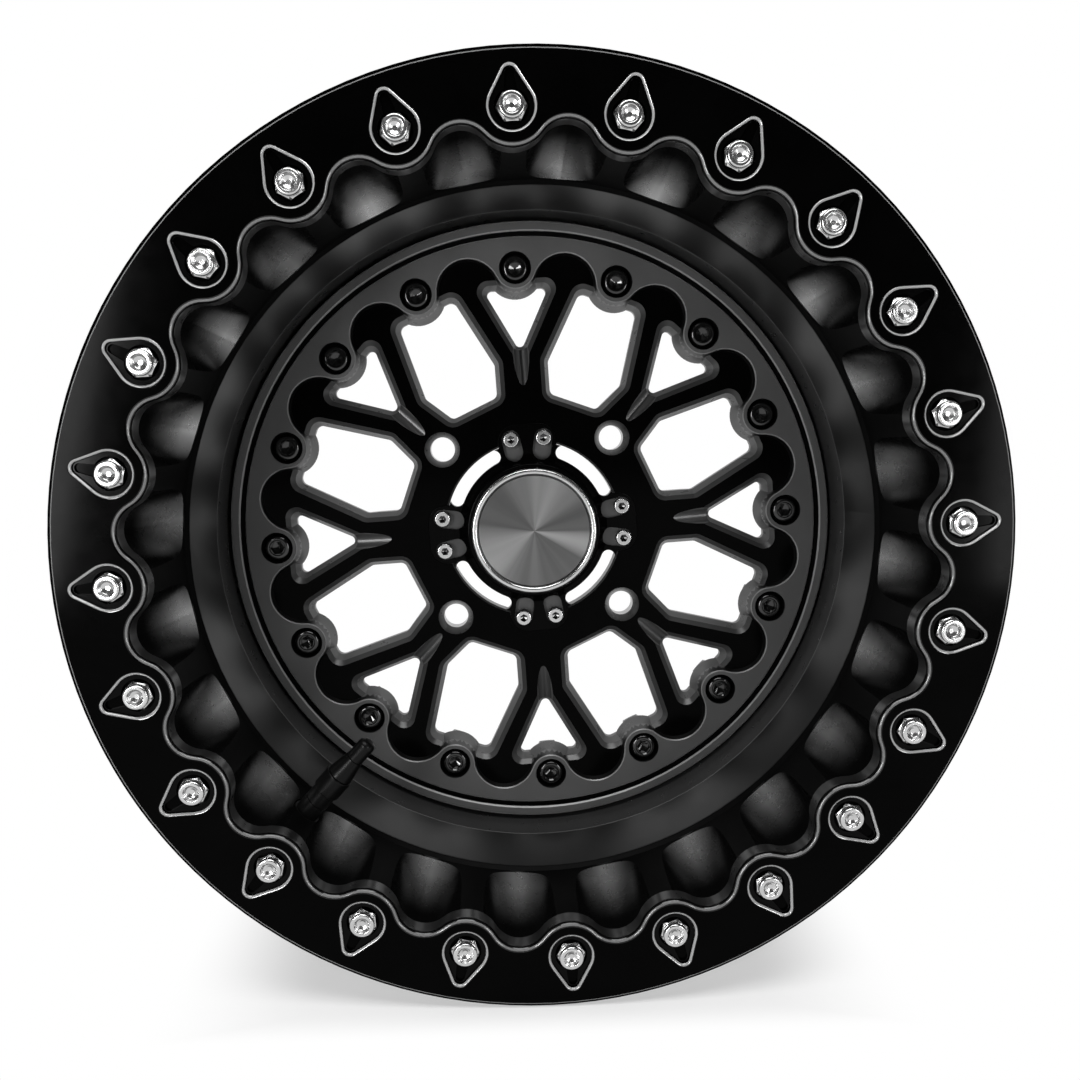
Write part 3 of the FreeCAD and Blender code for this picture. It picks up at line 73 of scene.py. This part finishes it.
# Where the painted highlight lines and streaks and the painted sheens start and end, in millimetres or as a
# share of one flute
BAND_HIGHLIGHT = (42.0, 43.0)
STREAK_ASIDE = 1.3
STREAK_HALF = (0.3, 0.8)
STREAK_START = (204.5, 206.0)
STREAK_END = (211.0, 213.5)
SHEEN_FRONT = 110.0
SHEEN_BACK = 84.0
SHEEN_ACROSS = (0.04, 0.34)
# Painted highlight fans on the cap plate: middle and half width in degrees, strength
PAINTED_FANS = ((205.0, 34.0, 0.75), (345.0, 16.0, 0.8), (52.0, 30.0, 0.35), (120.0, 20.0, 0.12))

# Grains: how many per metre and how deep in metres
GLOSS_GRAIN = (420.0, 1.0e-6)
LINE_GRAIN = (420.0, 5.0e-7)
SIDE_GRAIN = (900.0, 5.0e-7)
WALL_GRAIN = (1400.0, 3.0e-6)
BEVEL_GRAIN = (1600.0, 2.0e-6)
SLOT_GRAIN = (1800.0, 2.0e-6)
STEEL_GRAIN = (1800.0, 5.0e-7)
EDGE_GRAIN = (2200.0, 1.0e-6)
SATIN_GRAIN = (2400.0, 5.0e-7)
VALVE_GRAIN = (2400.0, 1.0e-6)
FLANGE_GRAIN = (2600.0, 9.0e-6)
PLASTIC_GRAIN = (3000.0, 1.0e-6)
RUBBER_GRAIN = (3200.0, 1.2e-5)
CLOUDS_PER_METRE = 38.0
SMEARS_PER_METRE = 140.0

# Plated and turned metal: fineness per metre of each kind of mark, share of the light left in dull patches
PATCHES_PER_METRE = 160.0
GLOSS_PER_METRE = 400.0
MARKS_PER_METRE = 900.0
DULL_SHARE = 0.93
SEAT_SMEARS_PER_METRE = 300.0
SEAT_RINGS_PER_METRE = 700.0
SEAT_RING_DEPTH = 1.0e-6
PLATE_RINGS_PER_METRE = 1500.0
PLATE_RING_DEPTH = 5.0e-7


# Node helpers

def new_material(name):
    """Material with one Principled shader."""
    material = bpy.data.materials.new(name)
    material.use_nodes = True
    return material, material.node_tree, material.node_tree.nodes["Principled BSDF"]


def add(tree, kind, inputs=None, **settings):
    """New node with its settings and fixed or linked inputs."""
    made = tree.nodes.new(kind)
    for key, value in settings.items():
        setattr(made, key, value)
    for key, value in (inputs or {}).items():
        if isinstance(value, bpy.types.NodeSocket):
            tree.links.new(value, made.inputs[key])
        else:
            made.inputs[key].default_value = value
    return made


def colour_of(level, tint=WHITE):
    """Grey of a given level, or a tint of that level."""
    return (*[level * part for part in tint], 1.0)


def object_metres(tree):
    """Coordinates of the CAD frame, in metres."""
    return add(tree, "ShaderNodeTexCoord").outputs["Object"]


def object_axes(tree):
    """Those coordinates one by one, as the outputs X, Y and Z."""
    return add(tree, "ShaderNodeSeparateXYZ", {0: object_metres(tree)}).outputs


def noise(tree, per_metre, detail):
    """Noise of a given fineness."""
    limits = {"Vector": object_metres(tree), "Scale": per_metre, "Detail": detail}
    return add(tree, "ShaderNodeTexNoise", limits).outputs["Fac"]


def between(tree, factor, low, high, start=0.3, end=0.7):
    """Factor spread from low to high."""
    limits = {"Value": factor, "From Min": start, "From Max": end, "To Min": low, "To Max": high}
    return add(tree, "ShaderNodeMapRange", limits).outputs["Result"]


def eased(tree, value, start, end):
    """Smooth rise from nought to one between two values."""
    limits = {"Value": value, "From Min": start, "From Max": end}
    return add(tree, "ShaderNodeMapRange", limits, interpolation_type="SMOOTHSTEP").outputs["Result"]


def combine(tree, operation, first, second=0.0):
    """Result of one sum on factors or numbers."""
    return add(tree, "ShaderNodeMath", {0: first, 1: second}, operation=operation).outputs[0]


def either(tree, *factors):
    """Largest of several factors."""
    found = factors[0]
    for factor in factors[1:]:
        found = combine(tree, "MAXIMUM", found, factor)
    return found


def shade_range(tree, factor, dark, light):
    """Colour that runs from dark to light with a factor."""
    blend = add(tree, "ShaderNodeMix", {"Factor": factor, "A": dark, "B": light}, data_type="RGBA")
    return [socket for socket in blend.outputs if socket.type == "RGBA"][0]


def link(tree, shader, **sockets):
    """Factors or colours that vary over a surface."""
    for name, value in sockets.items():
        tree.links.new(value, shader.inputs[name.replace("_", " ")])


def fixed(shader, **sockets):
    """Numbers that are the same all over a surface."""
    for name, value in sockets.items():
        shader.inputs[name.replace("_", " ")].default_value = value


def relief(tree, shader, height, depth):
    """Fine relief, depth in metres."""
    made = add(tree, "ShaderNodeBump", {"Height": height, "Distance": depth, "Strength": 1.0})
    link(tree, shader, Normal=made.outputs["Normal"])


# Parts that several finishes share

def coated(name, rough, grain):
    """Material with uneven gloss and a fine grain, still without its colour."""
    material, tree, shader = new_material(name)
    link(tree, shader, Roughness=between(tree, noise(tree, SMEARS_PER_METRE, 5.0), *rough))
    per_metre, depth = grain
    relief(tree, shader, noise(tree, per_metre, 3.0), depth)
    return material, tree, shader


def clouded(tree, levels):
    """Grey that drifts softly between two levels."""
    cloud = between(tree, noise(tree, CLOUDS_PER_METRE, 4.0), 0.0, 1.0)
    return shade_range(tree, cloud, *[colour_of(level) for level in levels])


def step_share(tree, place, shift):
    """Place within one step between bolts, from minus a half to a half, with the shift in steps."""
    turn = combine(tree, "ARCTAN2", place["Z"], place["X"])
    steps = combine(tree, "DIVIDE", turn, math.radians(FLUTE_STEP))
    shifted = combine(tree, "ADD", steps, shift - CLOCKING / FLUTE_STEP)
    return combine(tree, "SUBTRACT", combine(tree, "FRACT", shifted), 0.5)


# Finishes

def painted(name, levels, rough, grain, specular):
    """Paint, plastic or rubber: cloudy grey, uneven gloss and a fine grain."""
    material, tree, shader = coated(name, rough, grain)
    link(tree, shader, Base_Color=clouded(tree, levels))
    fixed(shader, Specular_IOR_Level=specular)
    return material


def plated(name, level, rough, marks, tint=WHITE):
    """Bright plating with dull patches and faint handling marks, their depth in metres."""
    material, tree, shader = new_material(name)
    patches = between(tree, noise(tree, PATCHES_PER_METRE, 3.0), 0.0, 1.0)
    dull = colour_of(DULL_SHARE * level, tint)
    link(tree, shader, Base_Color=shade_range(tree, patches, dull, colour_of(level, tint)),
         Roughness=between(tree, noise(tree, GLOSS_PER_METRE, 2.0), *rough))
    relief(tree, shader, noise(tree, MARKS_PER_METRE, 2.0), marks)
    fixed(shader, Metallic=1.0)
    return material


def painted_highlight_lined(name, highlight_level, highlight_slopes, specular):
    """Black gloss paint with a thin painted highlight line where a front edge has certain slopes."""
    material, tree, shader = coated(name, (0.09, 0.12), LINE_GRAIN)
    normal = add(tree, "ShaderNodeTexCoord").outputs["Normal"]
    back = add(tree, "ShaderNodeSeparateXYZ", {0: normal}).outputs["Y"]
    steepest, flattest = highlight_slopes
    soft = 0.04
    starts = between(tree, back, 0.0, 1.0, -flattest, -flattest + soft)
    ends = between(tree, back, 1.0, 0.0, -steepest - soft, -steepest)
    line = combine(tree, "MULTIPLY", starts, ends)
    black = clouded(tree, (0.0005, 0.0008))
    link(tree, shader, Base_Color=shade_range(tree, line, black, colour_of(highlight_level)))
    fixed(shader, Specular_IOR_Level=specular)
    return material


def scooped(name):
    """Satin paint with a painted sheen, in its colour and its specular level, gathered in the middle of each
    flute.
    """
    material, tree, shader = coated(name, (0.26, 0.29), SATIN_GRAIN)
    place = object_axes(tree)
    across = combine(tree, "ABSOLUTE", step_share(tree, place, 0.0))
    middle = between(tree, across, 1.0, 0.0, *SHEEN_ACROSS)
    deep = between(tree, place["Y"], 0.0, 1.0, -SHEEN_FRONT * MM, -SHEEN_BACK * MM)
    painted_sheen = combine(tree, "POWER", combine(tree, "MULTIPLY", middle, deep), 2.0)
    # Painted sheen: lighter colour and more specular towards the middle of each flute
    link(tree, shader, Base_Color=shade_range(tree, painted_sheen, colour_of(0.0016), colour_of(0.07)),
         Specular_IOR_Level=between(tree, painted_sheen, 0.003, 1.0, 0.0, 1.0))
    fixed(shader, IOR=2.6)
    return material


def streaked(name):
    """Gloss black pocket floor with a painted highlight streak from the bolt to the point."""
    material, tree, shader = new_material(name)
    place = object_axes(tree)
    aside, up = [combine(tree, "POWER", place[axis], 2.0) for axis in "XZ"]
    radius = combine(tree, "SQRT", combine(tree, "ADD", aside, up))
    share = step_share(tree, place, 0.5)
    across = combine(tree, "MULTIPLY", combine(tree, "MULTIPLY", share, radius), math.radians(FLUTE_STEP))
    from_streak = combine(tree, "ABSOLUTE", combine(tree, "SUBTRACT", across, STREAK_ASIDE * MM))
    narrow = between(tree, from_streak, 1.0, 0.0, *[limit * MM for limit in STREAK_HALF])
    starts = between(tree, radius, 0.0, 1.0, *[limit * MM for limit in STREAK_START])
    ends = between(tree, radius, 1.0, 0.0, *[limit * MM for limit in STREAK_END])
    streak = combine(tree, "MULTIPLY", narrow, combine(tree, "MULTIPLY", starts, ends))
    link(tree, shader, Base_Color=shade_range(tree, streak, colour_of(0.0010), colour_of(0.12)),
         Roughness=between(tree, noise(tree, SMEARS_PER_METRE, 4.0), 0.10, 0.14))
    fixed(shader, Specular_IOR_Level=0.06)
    return material


def edged(name):
    """Satin paint with a thin painted highlight line along the narrow end of the band."""
    material, tree, shader = coated(name, (0.29, 0.32), SATIN_GRAIN)
    low, high = BAND_HIGHLIGHT
    line = between(tree, object_axes(tree)["Y"], 0.0, 1.0, -high * MM, -low * MM)
    link(tree, shader, Base_Color=shade_range(tree, line, colour_of(0.0035), colour_of(0.163)))
    fixed(shader, Specular_IOR_Level=0.6)
    return material


def turned_rings(tree, per_metre, uneven):
    """Tool rings round the wheel axis, a little uneven."""
    limits = {"Vector": object_metres(tree), "Scale": per_metre, **uneven}
    made = add(tree, "ShaderNodeTexWave", limits, wave_type="RINGS", rings_direction="Y")
    return made.outputs["Fac"]


def seated(name):
    """Turned cone seat with painted light: darker at its rim and lighter towards its hole."""
    material, tree, shader = new_material(name)
    foot = SPOKE_FACE - LUG_CONE_DEPTH
    depth = between(tree, object_axes(tree)["Y"], 0.0, 1.0, -SPOKE_FACE * MM, -foot * MM)
    link(tree, shader, Base_Color=shade_range(tree, depth, colour_of(0.11), colour_of(0.34)),
         Roughness=between(tree, noise(tree, SEAT_SMEARS_PER_METRE, 2.0), 0.26, 0.34))
    uneven = {"Distortion": 0.6, "Detail": 2.0, "Detail Scale": 3.0}
    relief(tree, shader, turned_rings(tree, SEAT_RINGS_PER_METRE, uneven), SEAT_RING_DEPTH)
    fixed(shader, Metallic=1.0)
    return material


def fanned(name):
    """Round brushed plate: fine rings and painted highlight fans that open from the middle."""
    material, tree, shader = new_material(name)
    place = object_axes(tree)
    turn = combine(tree, "ARCTAN2", place["Z"], place["X"])
    sides = {0: combine(tree, "COSINE", turn), 1: combine(tree, "SINE", turn)}
    around = add(tree, "ShaderNodeCombineXYZ", sides).outputs[0]
    streaks = add(tree, "ShaderNodeTexNoise", {"Vector": around, "Scale": 1.6, "Detail": 3.0}).outputs["Fac"]
    level = between(tree, streaks, 0.0, 0.22, 0.35, 0.65)
    for middle, half, strength in PAINTED_FANS:
        facing = combine(tree, "COSINE", combine(tree, "SUBTRACT", turn, math.radians(middle)))
        painted_fan = between(tree, facing, 0.0, strength, math.cos(math.radians(half)), 1.0)
        level = combine(tree, "ADD", level, painted_fan)
    rings = turned_rings(tree, PLATE_RINGS_PER_METRE, {"Distortion": 0.4})
    tangent = add(tree, "ShaderNodeTangent", direction_type="RADIAL", axis="Y")
    link(tree, shader, Base_Color=shade_range(tree, level, colour_of(0.07), colour_of(0.36)),
         Roughness=between(tree, rings, 0.36, 0.44, 0.0, 1.0), Tangent=tangent.outputs["Tangent"])
    relief(tree, shader, rings, PLATE_RING_DEPTH)
    fixed(shader, Metallic=0.75, Anisotropic=0.8)
    return material


# Paints: grey levels, roughness, grain and specular level
GLOSS_BLACK = painted("gloss_black", (0.0007, 0.0010), (0.09, 0.12), GLOSS_GRAIN, 0.02)
RING_SIDE = painted("ring_side", (0.004, 0.006), (0.20, 0.24), SIDE_GRAIN, 0.5)
RING_WALL = painted("ring_wall", (0.004, 0.006), (0.26, 0.34), WALL_GRAIN, 0.8)
SATIN_BLACK = painted("satin_black", (0.003, 0.004), (0.29, 0.32), SATIN_GRAIN, 0.6)
# Lighter copy of the satin paint: painted light on the foot of the band
BAND_FOOT_PAINTED_LIGHT = painted("band_foot_painted_light", (0.024, 0.030), (0.27, 0.30), SATIN_GRAIN, 0.5)
# Darker, almost unreflecting copy of the satin paint: painted shade on lands, steps, the groove and bolt
# wells
LAND_PAINTED_SHADE = painted("land_painted_shade", (0.0015, 0.0025), (0.34, 0.38), SATIN_GRAIN, 0.015)
SATIN_GREY = painted("satin_grey", (0.046, 0.054), (0.38, 0.46), FLANGE_GRAIN, 0.3)
# Window bevels: a darker and a lighter copy of one finish, painted shade and painted light
BEVEL_PAINTED_SHADE = painted("bevel_painted_shade", (0.022, 0.030), (0.30, 0.38), BEVEL_GRAIN, 0.5)
BEVEL_PAINTED_LIGHT = painted("bevel_painted_light", (0.06, 0.08), (0.26, 0.34), BEVEL_GRAIN, 0.6)
# Painted highlight on the flange's edges and lip
EDGE_PAINTED_HIGHLIGHT = painted("edge_painted_highlight", (0.13, 0.16), (0.26, 0.32), EDGE_GRAIN, 0.5)
CAP_BLACK = painted("cap_black", (0.0008, 0.0012), (0.12, 0.16), SIDE_GRAIN, 0.035)
SLOT_GREY = painted("slot_grey", (0.045, 0.060), (0.30, 0.38), SLOT_GRAIN, 0.4)
BLACK_STEEL = painted("black_steel", (0.002, 0.003), (0.10, 0.14), STEEL_GRAIN, 0.6)
VALVE_BLACK = painted("valve_black", (0.002, 0.003), (0.28, 0.34), VALVE_GRAIN, 0.10)
CAP_PLASTIC = painted("cap_plastic", (0.002, 0.003), (0.30, 0.36), PLASTIC_GRAIN, 0.12)
RUBBER = painted("rubber", (0.012, 0.018), (0.55, 0.68), RUBBER_GRAIN, 0.4)

# Gloss paints with a painted highlight line on rounded edges: grey level of the line, its slopes and
# specular level
RING_BLACK = painted_highlight_lined("ring_black", 0.21, (0.78, 0.97), 0.02)
RING_RIM = painted_highlight_lined("ring_rim", 0.15, (0.87, 0.99), 0.0)
POCKET_RIM = painted_highlight_lined("pocket_rim", 0.27, (0.45, 0.98), 1.0)
INNER_EDGE = painted_highlight_lined("inner_edge", 0.13, (0.70, 0.96), 0.4)

# Plated metals: level, roughness and depth of the marks
CHROME = plated("chrome", 0.56, (0.22, 0.26), 5.0e-8)
# Darker copy of the chrome: painted shade on the bolt hexagons and cap screw sides
CHROME_PAINTED_SHADE = plated("chrome_painted_shade", 0.08, (0.26, 0.32), 1.0e-7)
POLISHED = plated("polished", 0.60, (0.18, 0.22), 5.0e-8)
BRASS = plated("brass", 0.80, (0.20, 0.30), 2.0e-7, tint=(1.0, 0.78, 0.42))

# Finishes made for one place
POCKET_FLOOR_PAINTED_HIGHLIGHT = streaked("pocket_floor_painted_highlight")
BAND_PAINTED_LINE = edged("band_painted_line")
FLUTE_PAINTED_SHEEN = scooped("flute_painted_sheen")
LUG_PAINTED_LIGHT = seated("lug_painted_light")
BRUSHED_PAINTED_FANS = fanned("brushed")

# Which finish each node starts with
FINISH_OF = {
    "beadlock_ring": RING_BLACK,
    "beadlock_bolts": CHROME,
    "outer_barrel": SATIN_BLACK,
    "inner_barrel": SATIN_BLACK,
    "barrel_seal": RUBBER,
    "centre_disc": SATIN_BLACK,
    "centre_bolts": BLACK_STEEL,
    "centre_nuts": BLACK_STEEL,
    "cap_base": CAP_BLACK,
    "cap_screws": CHROME,
    "cap_bezel": POLISHED,
    "cap_plate": BRUSHED_PAINTED_FANS,
    "valve_grommet": RUBBER,
    "valve_washer": VALVE_BLACK,
    "valve_nut": VALVE_BLACK,
    "valve_sleeve": VALVE_BLACK,
    "valve_stem": VALVE_BLACK,
    "valve_core": BRASS,
    "valve_pin": BRASS,
    "valve_cap": CAP_PLASTIC,
    "valve_cap_seal": RUBBER,
}
for name, material in FINISH_OF.items():
    mesh = NODES[name].data
    mesh.materials.clear()
    mesh.materials.append(material)

# Directions of faces, as cosines to the front, outward from the axis or round it
FLAT = 0.97
RIM_FLAT = 0.999
STEEP = 0.3
RING_SIDE_STEEP = 0.2
RING_ROUND_FROM = 0.25
RING_ROUND_TO = 0.995
RING_INWARD = -0.2
BARREL_INWARD = -0.1
BARREL_ROUND = 0.04
LAND_FRONT = 0.09
STEP_FRONT = 0.5
STEP_INWARD = -0.3
FOOT_INWARD = -0.9
BEVEL_FROM = 0.12
BEVEL_SPLIT = 0.6
SEAT_BACK = -0.5
# Heights that tell the faces of two levels apart, in millimetres
HAIR = 0.05
FLANGE_RISE = 0.2


class Faces:
    """Middle and direction of every face of a node, about the wheel axis."""

    def __init__(self, name):
        self.mesh = NODES[name].data
        count = len(self.mesh.polygons)
        middle = np.empty(count * 3, np.float32)
        normal = np.empty(count * 3, np.float32)
        self.mesh.polygons.foreach_get("center", middle)
        self.mesh.polygons.foreach_get("normal", normal)
        middle = middle.reshape(-1, 3) / MM
        normal = normal.reshape(-1, 3)
        self.radius = np.hypot(middle[:, 0], middle[:, 2])
        self.angle = np.degrees(np.arctan2(middle[:, 2], middle[:, 0])) - CLOCKING
        self.height = -middle[:, 1]
        self.front = -normal[:, 1]
        self.outward = (normal[:, 0] * middle[:, 0] + normal[:, 2] * middle[:, 2]) / self.radius
        self.sideways = (normal[:, 2] * middle[:, 0] - normal[:, 0] * middle[:, 2]) / self.radius
        self.index = np.zeros(count, np.int32)

    def near(self, pitch, start, step, reach):
        """Faces close to one of the places spaced round a circle."""
        turn = np.radians((self.angle - start + step / 2) % step - step / 2)
        along = self.radius * np.cos(turn) - pitch
        across = self.radius * np.sin(turn)
        return np.hypot(along, across) < reach

    def flat_at(self, height):
        """Flat front faces at one height."""
        return (self.front > FLAT) & (np.abs(self.height - height) < 2 * HAIR)

    def give(self, which, material):
        """Put a finish on the chosen faces."""
        self.mesh.materials.append(material)
        self.index[which] = len(self.mesh.materials) - 1

    def done(self):
        """Write the chosen finishes to the mesh."""
        self.mesh.polygons.foreach_set("material_index", self.index)
        self.mesh.update()


# Clamp ring: gloss face, satin inner wall, painted highlight lines on the rounded edges and pocket rims, a
# painted highlight streak on the pocket floors, sheen on its side
ring = Faces("beadlock_ring")
ring.give((ring.front < STEEP) & (ring.outward < RING_INWARD) & (ring.radius < RING_WALL_R), RING_WALL)
rounded = (ring.front > RING_ROUND_FROM) & (ring.front < RING_ROUND_TO) & (ring.radius < RING_RIM_R)
at_pocket = ring.near(RING_PITCH_R, 0.0, FLUTE_STEP, POCKET_R) | (ring.radius > RING_PITCH_R)
ring.give(ring.flat_at(RING_FACE - POCKET_DEPTH), POCKET_FLOOR_PAINTED_HIGHLIGHT)
ring.give(rounded & at_pocket, POCKET_RIM)
ring.give(rounded & ~at_pocket, INNER_EDGE)
ring.give((ring.radius > RING_RIM_R) & (ring.front < RIM_FLAT), RING_RIM)
outside = (ring.radius > RING_PITCH_R) & (ring.outward > RING_INWARD)
ring.give(outside & (ring.front < RING_SIDE_STEEP), RING_SIDE)
ring.done()

# Clamp ring bolts: a darker copy of the chrome on the hexagons under the bright collars, painted shade
bolts = Faces("beadlock_bolts")
bolts.give(bolts.height < RING_BOLT_HEX, CHROME_PAINTED_SHADE)
bolts.done()

# Outer barrel: painted shade on the lands and steps, painted sheen in the satin flutes, a painted highlight
# line on the band and painted light on its foot
barrel = Faces("outer_barrel")
round_wall = np.abs(barrel.sideways) < BARREL_ROUND
at_land = (barrel.radius > LAND_LOW_R) & (barrel.radius < LAND_HIGH_R)
land = round_wall & at_land & (barrel.front < LAND_FRONT)
step = round_wall & (barrel.front > STEP_FRONT) & (barrel.outward < STEP_INWARD)
inside = barrel.outward < BARREL_INWARD
barrel.give((barrel.height > BAND_END) & inside, BAND_PAINTED_LINE)
barrel.give((barrel.height > FLUTE_END) & inside, FLUTE_PAINTED_SHEEN)
barrel.give((land | step) & (barrel.outward < 0.0), LAND_PAINTED_SHADE)
barrel.give((barrel.outward < FOOT_INWARD) & (barrel.height < BAND_END), BAND_FOOT_PAINTED_LIGHT)
barrel.done()

# Centre disc: gloss spokes, window bevels in a darker and a lighter copy of one finish split by slope
# (painted shade and painted light), grey flange with painted highlights on its edges, painted shade in its
# groove and bolt wells, stud seats with painted light
disc = Faces("centre_disc")
sloping = (disc.front > BEVEL_FROM) & (disc.front < FLAT)
below_face = sloping & (disc.height < SPOKE_FACE + HAIR) & (disc.height > WINDOW_FOOT)
at_bolt = disc.near(BOLT_PITCH_R, 0.0, BOLT_STEP, BOLT_WELL_R)
at_lug = disc.near(LUG_PITCH_R, LUG_START, QUARTER_TURN, LUG_REACH)
sunk = disc.height < DISC_FACE - HAIR
groove = (disc.radius > GROOVE_LOW_R) & (disc.radius < GROOVE_HIGH_R) & sunk
disc.give(disc.flat_at(SPOKE_FACE), GLOSS_BLACK)
disc.give(below_face & (disc.front > BEVEL_SPLIT), BEVEL_PAINTED_SHADE)
disc.give(below_face & (disc.front <= BEVEL_SPLIT), BEVEL_PAINTED_LIGHT)
disc.give((disc.front > FLAT) & (disc.height > SPOKE_FACE + FLANGE_RISE), SATIN_GREY)
# Painted highlight on the sloping edges of the flange
disc.give(sloping & (disc.height > EDGE_FOOT) & ~at_bolt, EDGE_PAINTED_HIGHLIGHT)
# Painted shade in the groove and the bolt wells
disc.give(groove & (disc.height > SPOKE_FACE), LAND_PAINTED_SHADE)
disc.give(at_bolt & sunk, LAND_PAINTED_SHADE)
disc.give(at_lug & (disc.front < FLAT) & (disc.front > SEAT_BACK), LUG_PAINTED_LIGHT)
disc.done()

# Hub cap base: machined slot floors
cap = Faces("cap_base")
cap.give(cap.flat_at(SLOT_FLOOR), SLOT_GREY)
cap.done()

# Cap screws: painted shade in the sockets (black steel) and on the sides (a darker copy of the chrome),
# bright heads
screws = Faces("cap_screws")
first_of_pair = screws.near(SCREW_PITCH_R, SCREW_TURN, QUARTER_TURN, SOCKET_R)
second_of_pair = screws.near(SCREW_PITCH_R, -SCREW_TURN, QUARTER_TURN, SOCKET_R)
in_socket = first_of_pair | second_of_pair
on_head = screws.height > SLOT_FLOOR
# Painted shade: black steel in the sockets of the chrome screws
screws.give(in_socket & (screws.height < SCREW_TOP - HAIR) & on_head, BLACK_STEEL)
screws.give((screws.front < STEEP) & ~in_socket & on_head, CHROME_PAINTED_SHADE)
screws.done()

# Floor that stays white to the camera and glows less in a patch near the wheel, partly a painted shadow and
# partly room for the lamps' real shadow; sizes in metres from its middle
FLOOR_HALF = 4.0
FLOOR_GLOW = 0.42
SHADOW_SIDE = (0.11, 0.19)
SHADOW_FRONT = (0.1247, 0.147)
SHADOW_BACK = (0.107, 0.22)


def white_floor():
    """Matt white that glows to the eye and in reflections, but less near the wheel: a painted shadow patch
    in which the lamps' real shadow also shows.
    """
    material = bpy.data.materials.new("floor_white")
    material.use_nodes = True
    tree = material.node_tree
    tree.nodes.clear()
    path = add(tree, "ShaderNodeLightPath").outputs
    seen = either(tree, path["Is Camera Ray"], path["Is Glossy Ray"], path["Is Transmission Ray"])
    place = object_axes(tree)
    beside = combine(tree, "ABSOLUTE", place["X"])
    ahead = combine(tree, "MULTIPLY", place["Y"], -1.0)
    outside_painted_shadow = either(tree, eased(tree, beside, *SHADOW_SIDE), eased(tree, ahead, *SHADOW_FRONT),
                  eased(tree, place["Y"], *SHADOW_BACK))
    share = combine(tree, "MULTIPLY", seen, between(tree, outside_painted_shadow, FLOOR_GLOW, 1.0, 0.0, 1.0))
    speckle = between(tree, noise(tree, 60.0, 3.0), 0.0, 1.0)
    pale = shade_range(tree, speckle, colour_of(0.84), colour_of(0.86))
    matt = add(tree, "ShaderNodeBsdfDiffuse", {"Color": pale})
    glow = add(tree, "ShaderNodeEmission", {"Color": colour_of(1.0), "Strength": 1.0})
    mixed = add(tree, "ShaderNodeMixShader", {0: share, 1: matt.outputs[0], 2: glow.outputs[0]})
    add(tree, "ShaderNodeOutputMaterial", {"Surface": mixed.outputs[0]})
    return material


floor_mesh = bpy.data.meshes.new("floor")
corners = [(-FLOOR_HALF, -FLOOR_HALF, 0.0), (FLOOR_HALF, -FLOOR_HALF, 0.0),
           (FLOOR_HALF, FLOOR_HALF, 0.0), (-FLOOR_HALF, FLOOR_HALF, 0.0)]
floor_mesh.from_pydata(corners, [], [(0, 1, 2, 3)])
floor_mesh.materials.append(white_floor())
floor = bpy.data.objects.new("floor", floor_mesh)
floor.location = (0.0, 0.0, cad_box[0].z)
bpy.context.scene.collection.objects.link(floor)

# Studio surroundings: white behind the wheel and to the camera, dark in front of it
FRONT_LEVEL = 0.04
BACKDROP_EDGE = (-0.15, 0.10)
world = bpy.data.worlds.new("studio")
bpy.context.scene.world = world
world.use_nodes = True
sky = world.node_tree
sky.nodes.clear()
way = add(sky, "ShaderNodeSeparateXYZ", {0: add(sky, "ShaderNodeTexCoord").outputs["Generated"]})
behind = eased(sky, way.outputs["Y"], *BACKDROP_EDGE)
path = add(sky, "ShaderNodeLightPath").outputs
seen = either(sky, behind, path["Is Camera Ray"], path["Is Transmission Ray"])
light = shade_range(sky, seen, colour_of(FRONT_LEVEL), colour_of(1.0))
backdrop = add(sky, "ShaderNodeBackground", {"Color": light, "Strength": 1.0})
add(sky, "ShaderNodeOutputWorld", {"Surface": backdrop.outputs[0]})

# Softboxes: name, place, aim, width, height, lean in degrees and radiance
SOFTBOXES = (
    ("left_box", (-0.79, -1.26, 0.02), (0.0, -0.05, 0.0), 0.20, 0.76, -12.0, 28.0),
    ("right_box", (0.925, -1.26, 0.05), (0.0, -0.05, 0.0), 0.20, 0.62, 0.0, 15.0),
    ("top_box", (0.0, -0.75, 1.25), (0.0, -0.05, -0.05), 1.2, 0.6, 0.0, 7.5),
)


def softbox(name, place, aim, width, height, lean, radiance):
    """Rectangular lamp of a given brightness, turned to face a point."""
    lamp = bpy.data.lights.new(name, "AREA")
    lamp.shape = "RECTANGLE"
    lamp.size = width
    lamp.size_y = height
    lamp.energy = radiance * math.pi * width * height
    made = bpy.data.objects.new(name, lamp)
    made.location = place
    made.rotation_mode = "QUATERNION"
    facing = (Vector(aim) - Vector(place)).to_track_quat("-Z", "Y")
    made.rotation_quaternion = facing @ Quaternion((0.0, 0.0, 1.0), math.radians(lean))
    bpy.context.scene.collection.objects.link(made)


for box in SOFTBOXES:
    softbox(*box)

# Camera: the photo's viewpoint, a little above the axis and left of it
CAMERA_PLACE = (-0.02262, -0.56128, 0.06113)
CAMERA_TURN = (82.929, -0.111, -2.752)
CAMERA_LENS = 31.93
camera_data = bpy.data.cameras.new("camera")
camera_data.lens = CAMERA_LENS
camera_data.sensor_width = 36.0
camera_data.clip_start = 0.01
camera = bpy.data.objects.new("camera", camera_data)
camera.location = CAMERA_PLACE
camera.rotation_euler = [math.radians(angle) for angle in CAMERA_TURN]
bpy.context.scene.collection.objects.link(camera)
bpy.context.scene.camera = camera
bpy.context.scene.view_settings.view_transform = "Standard"
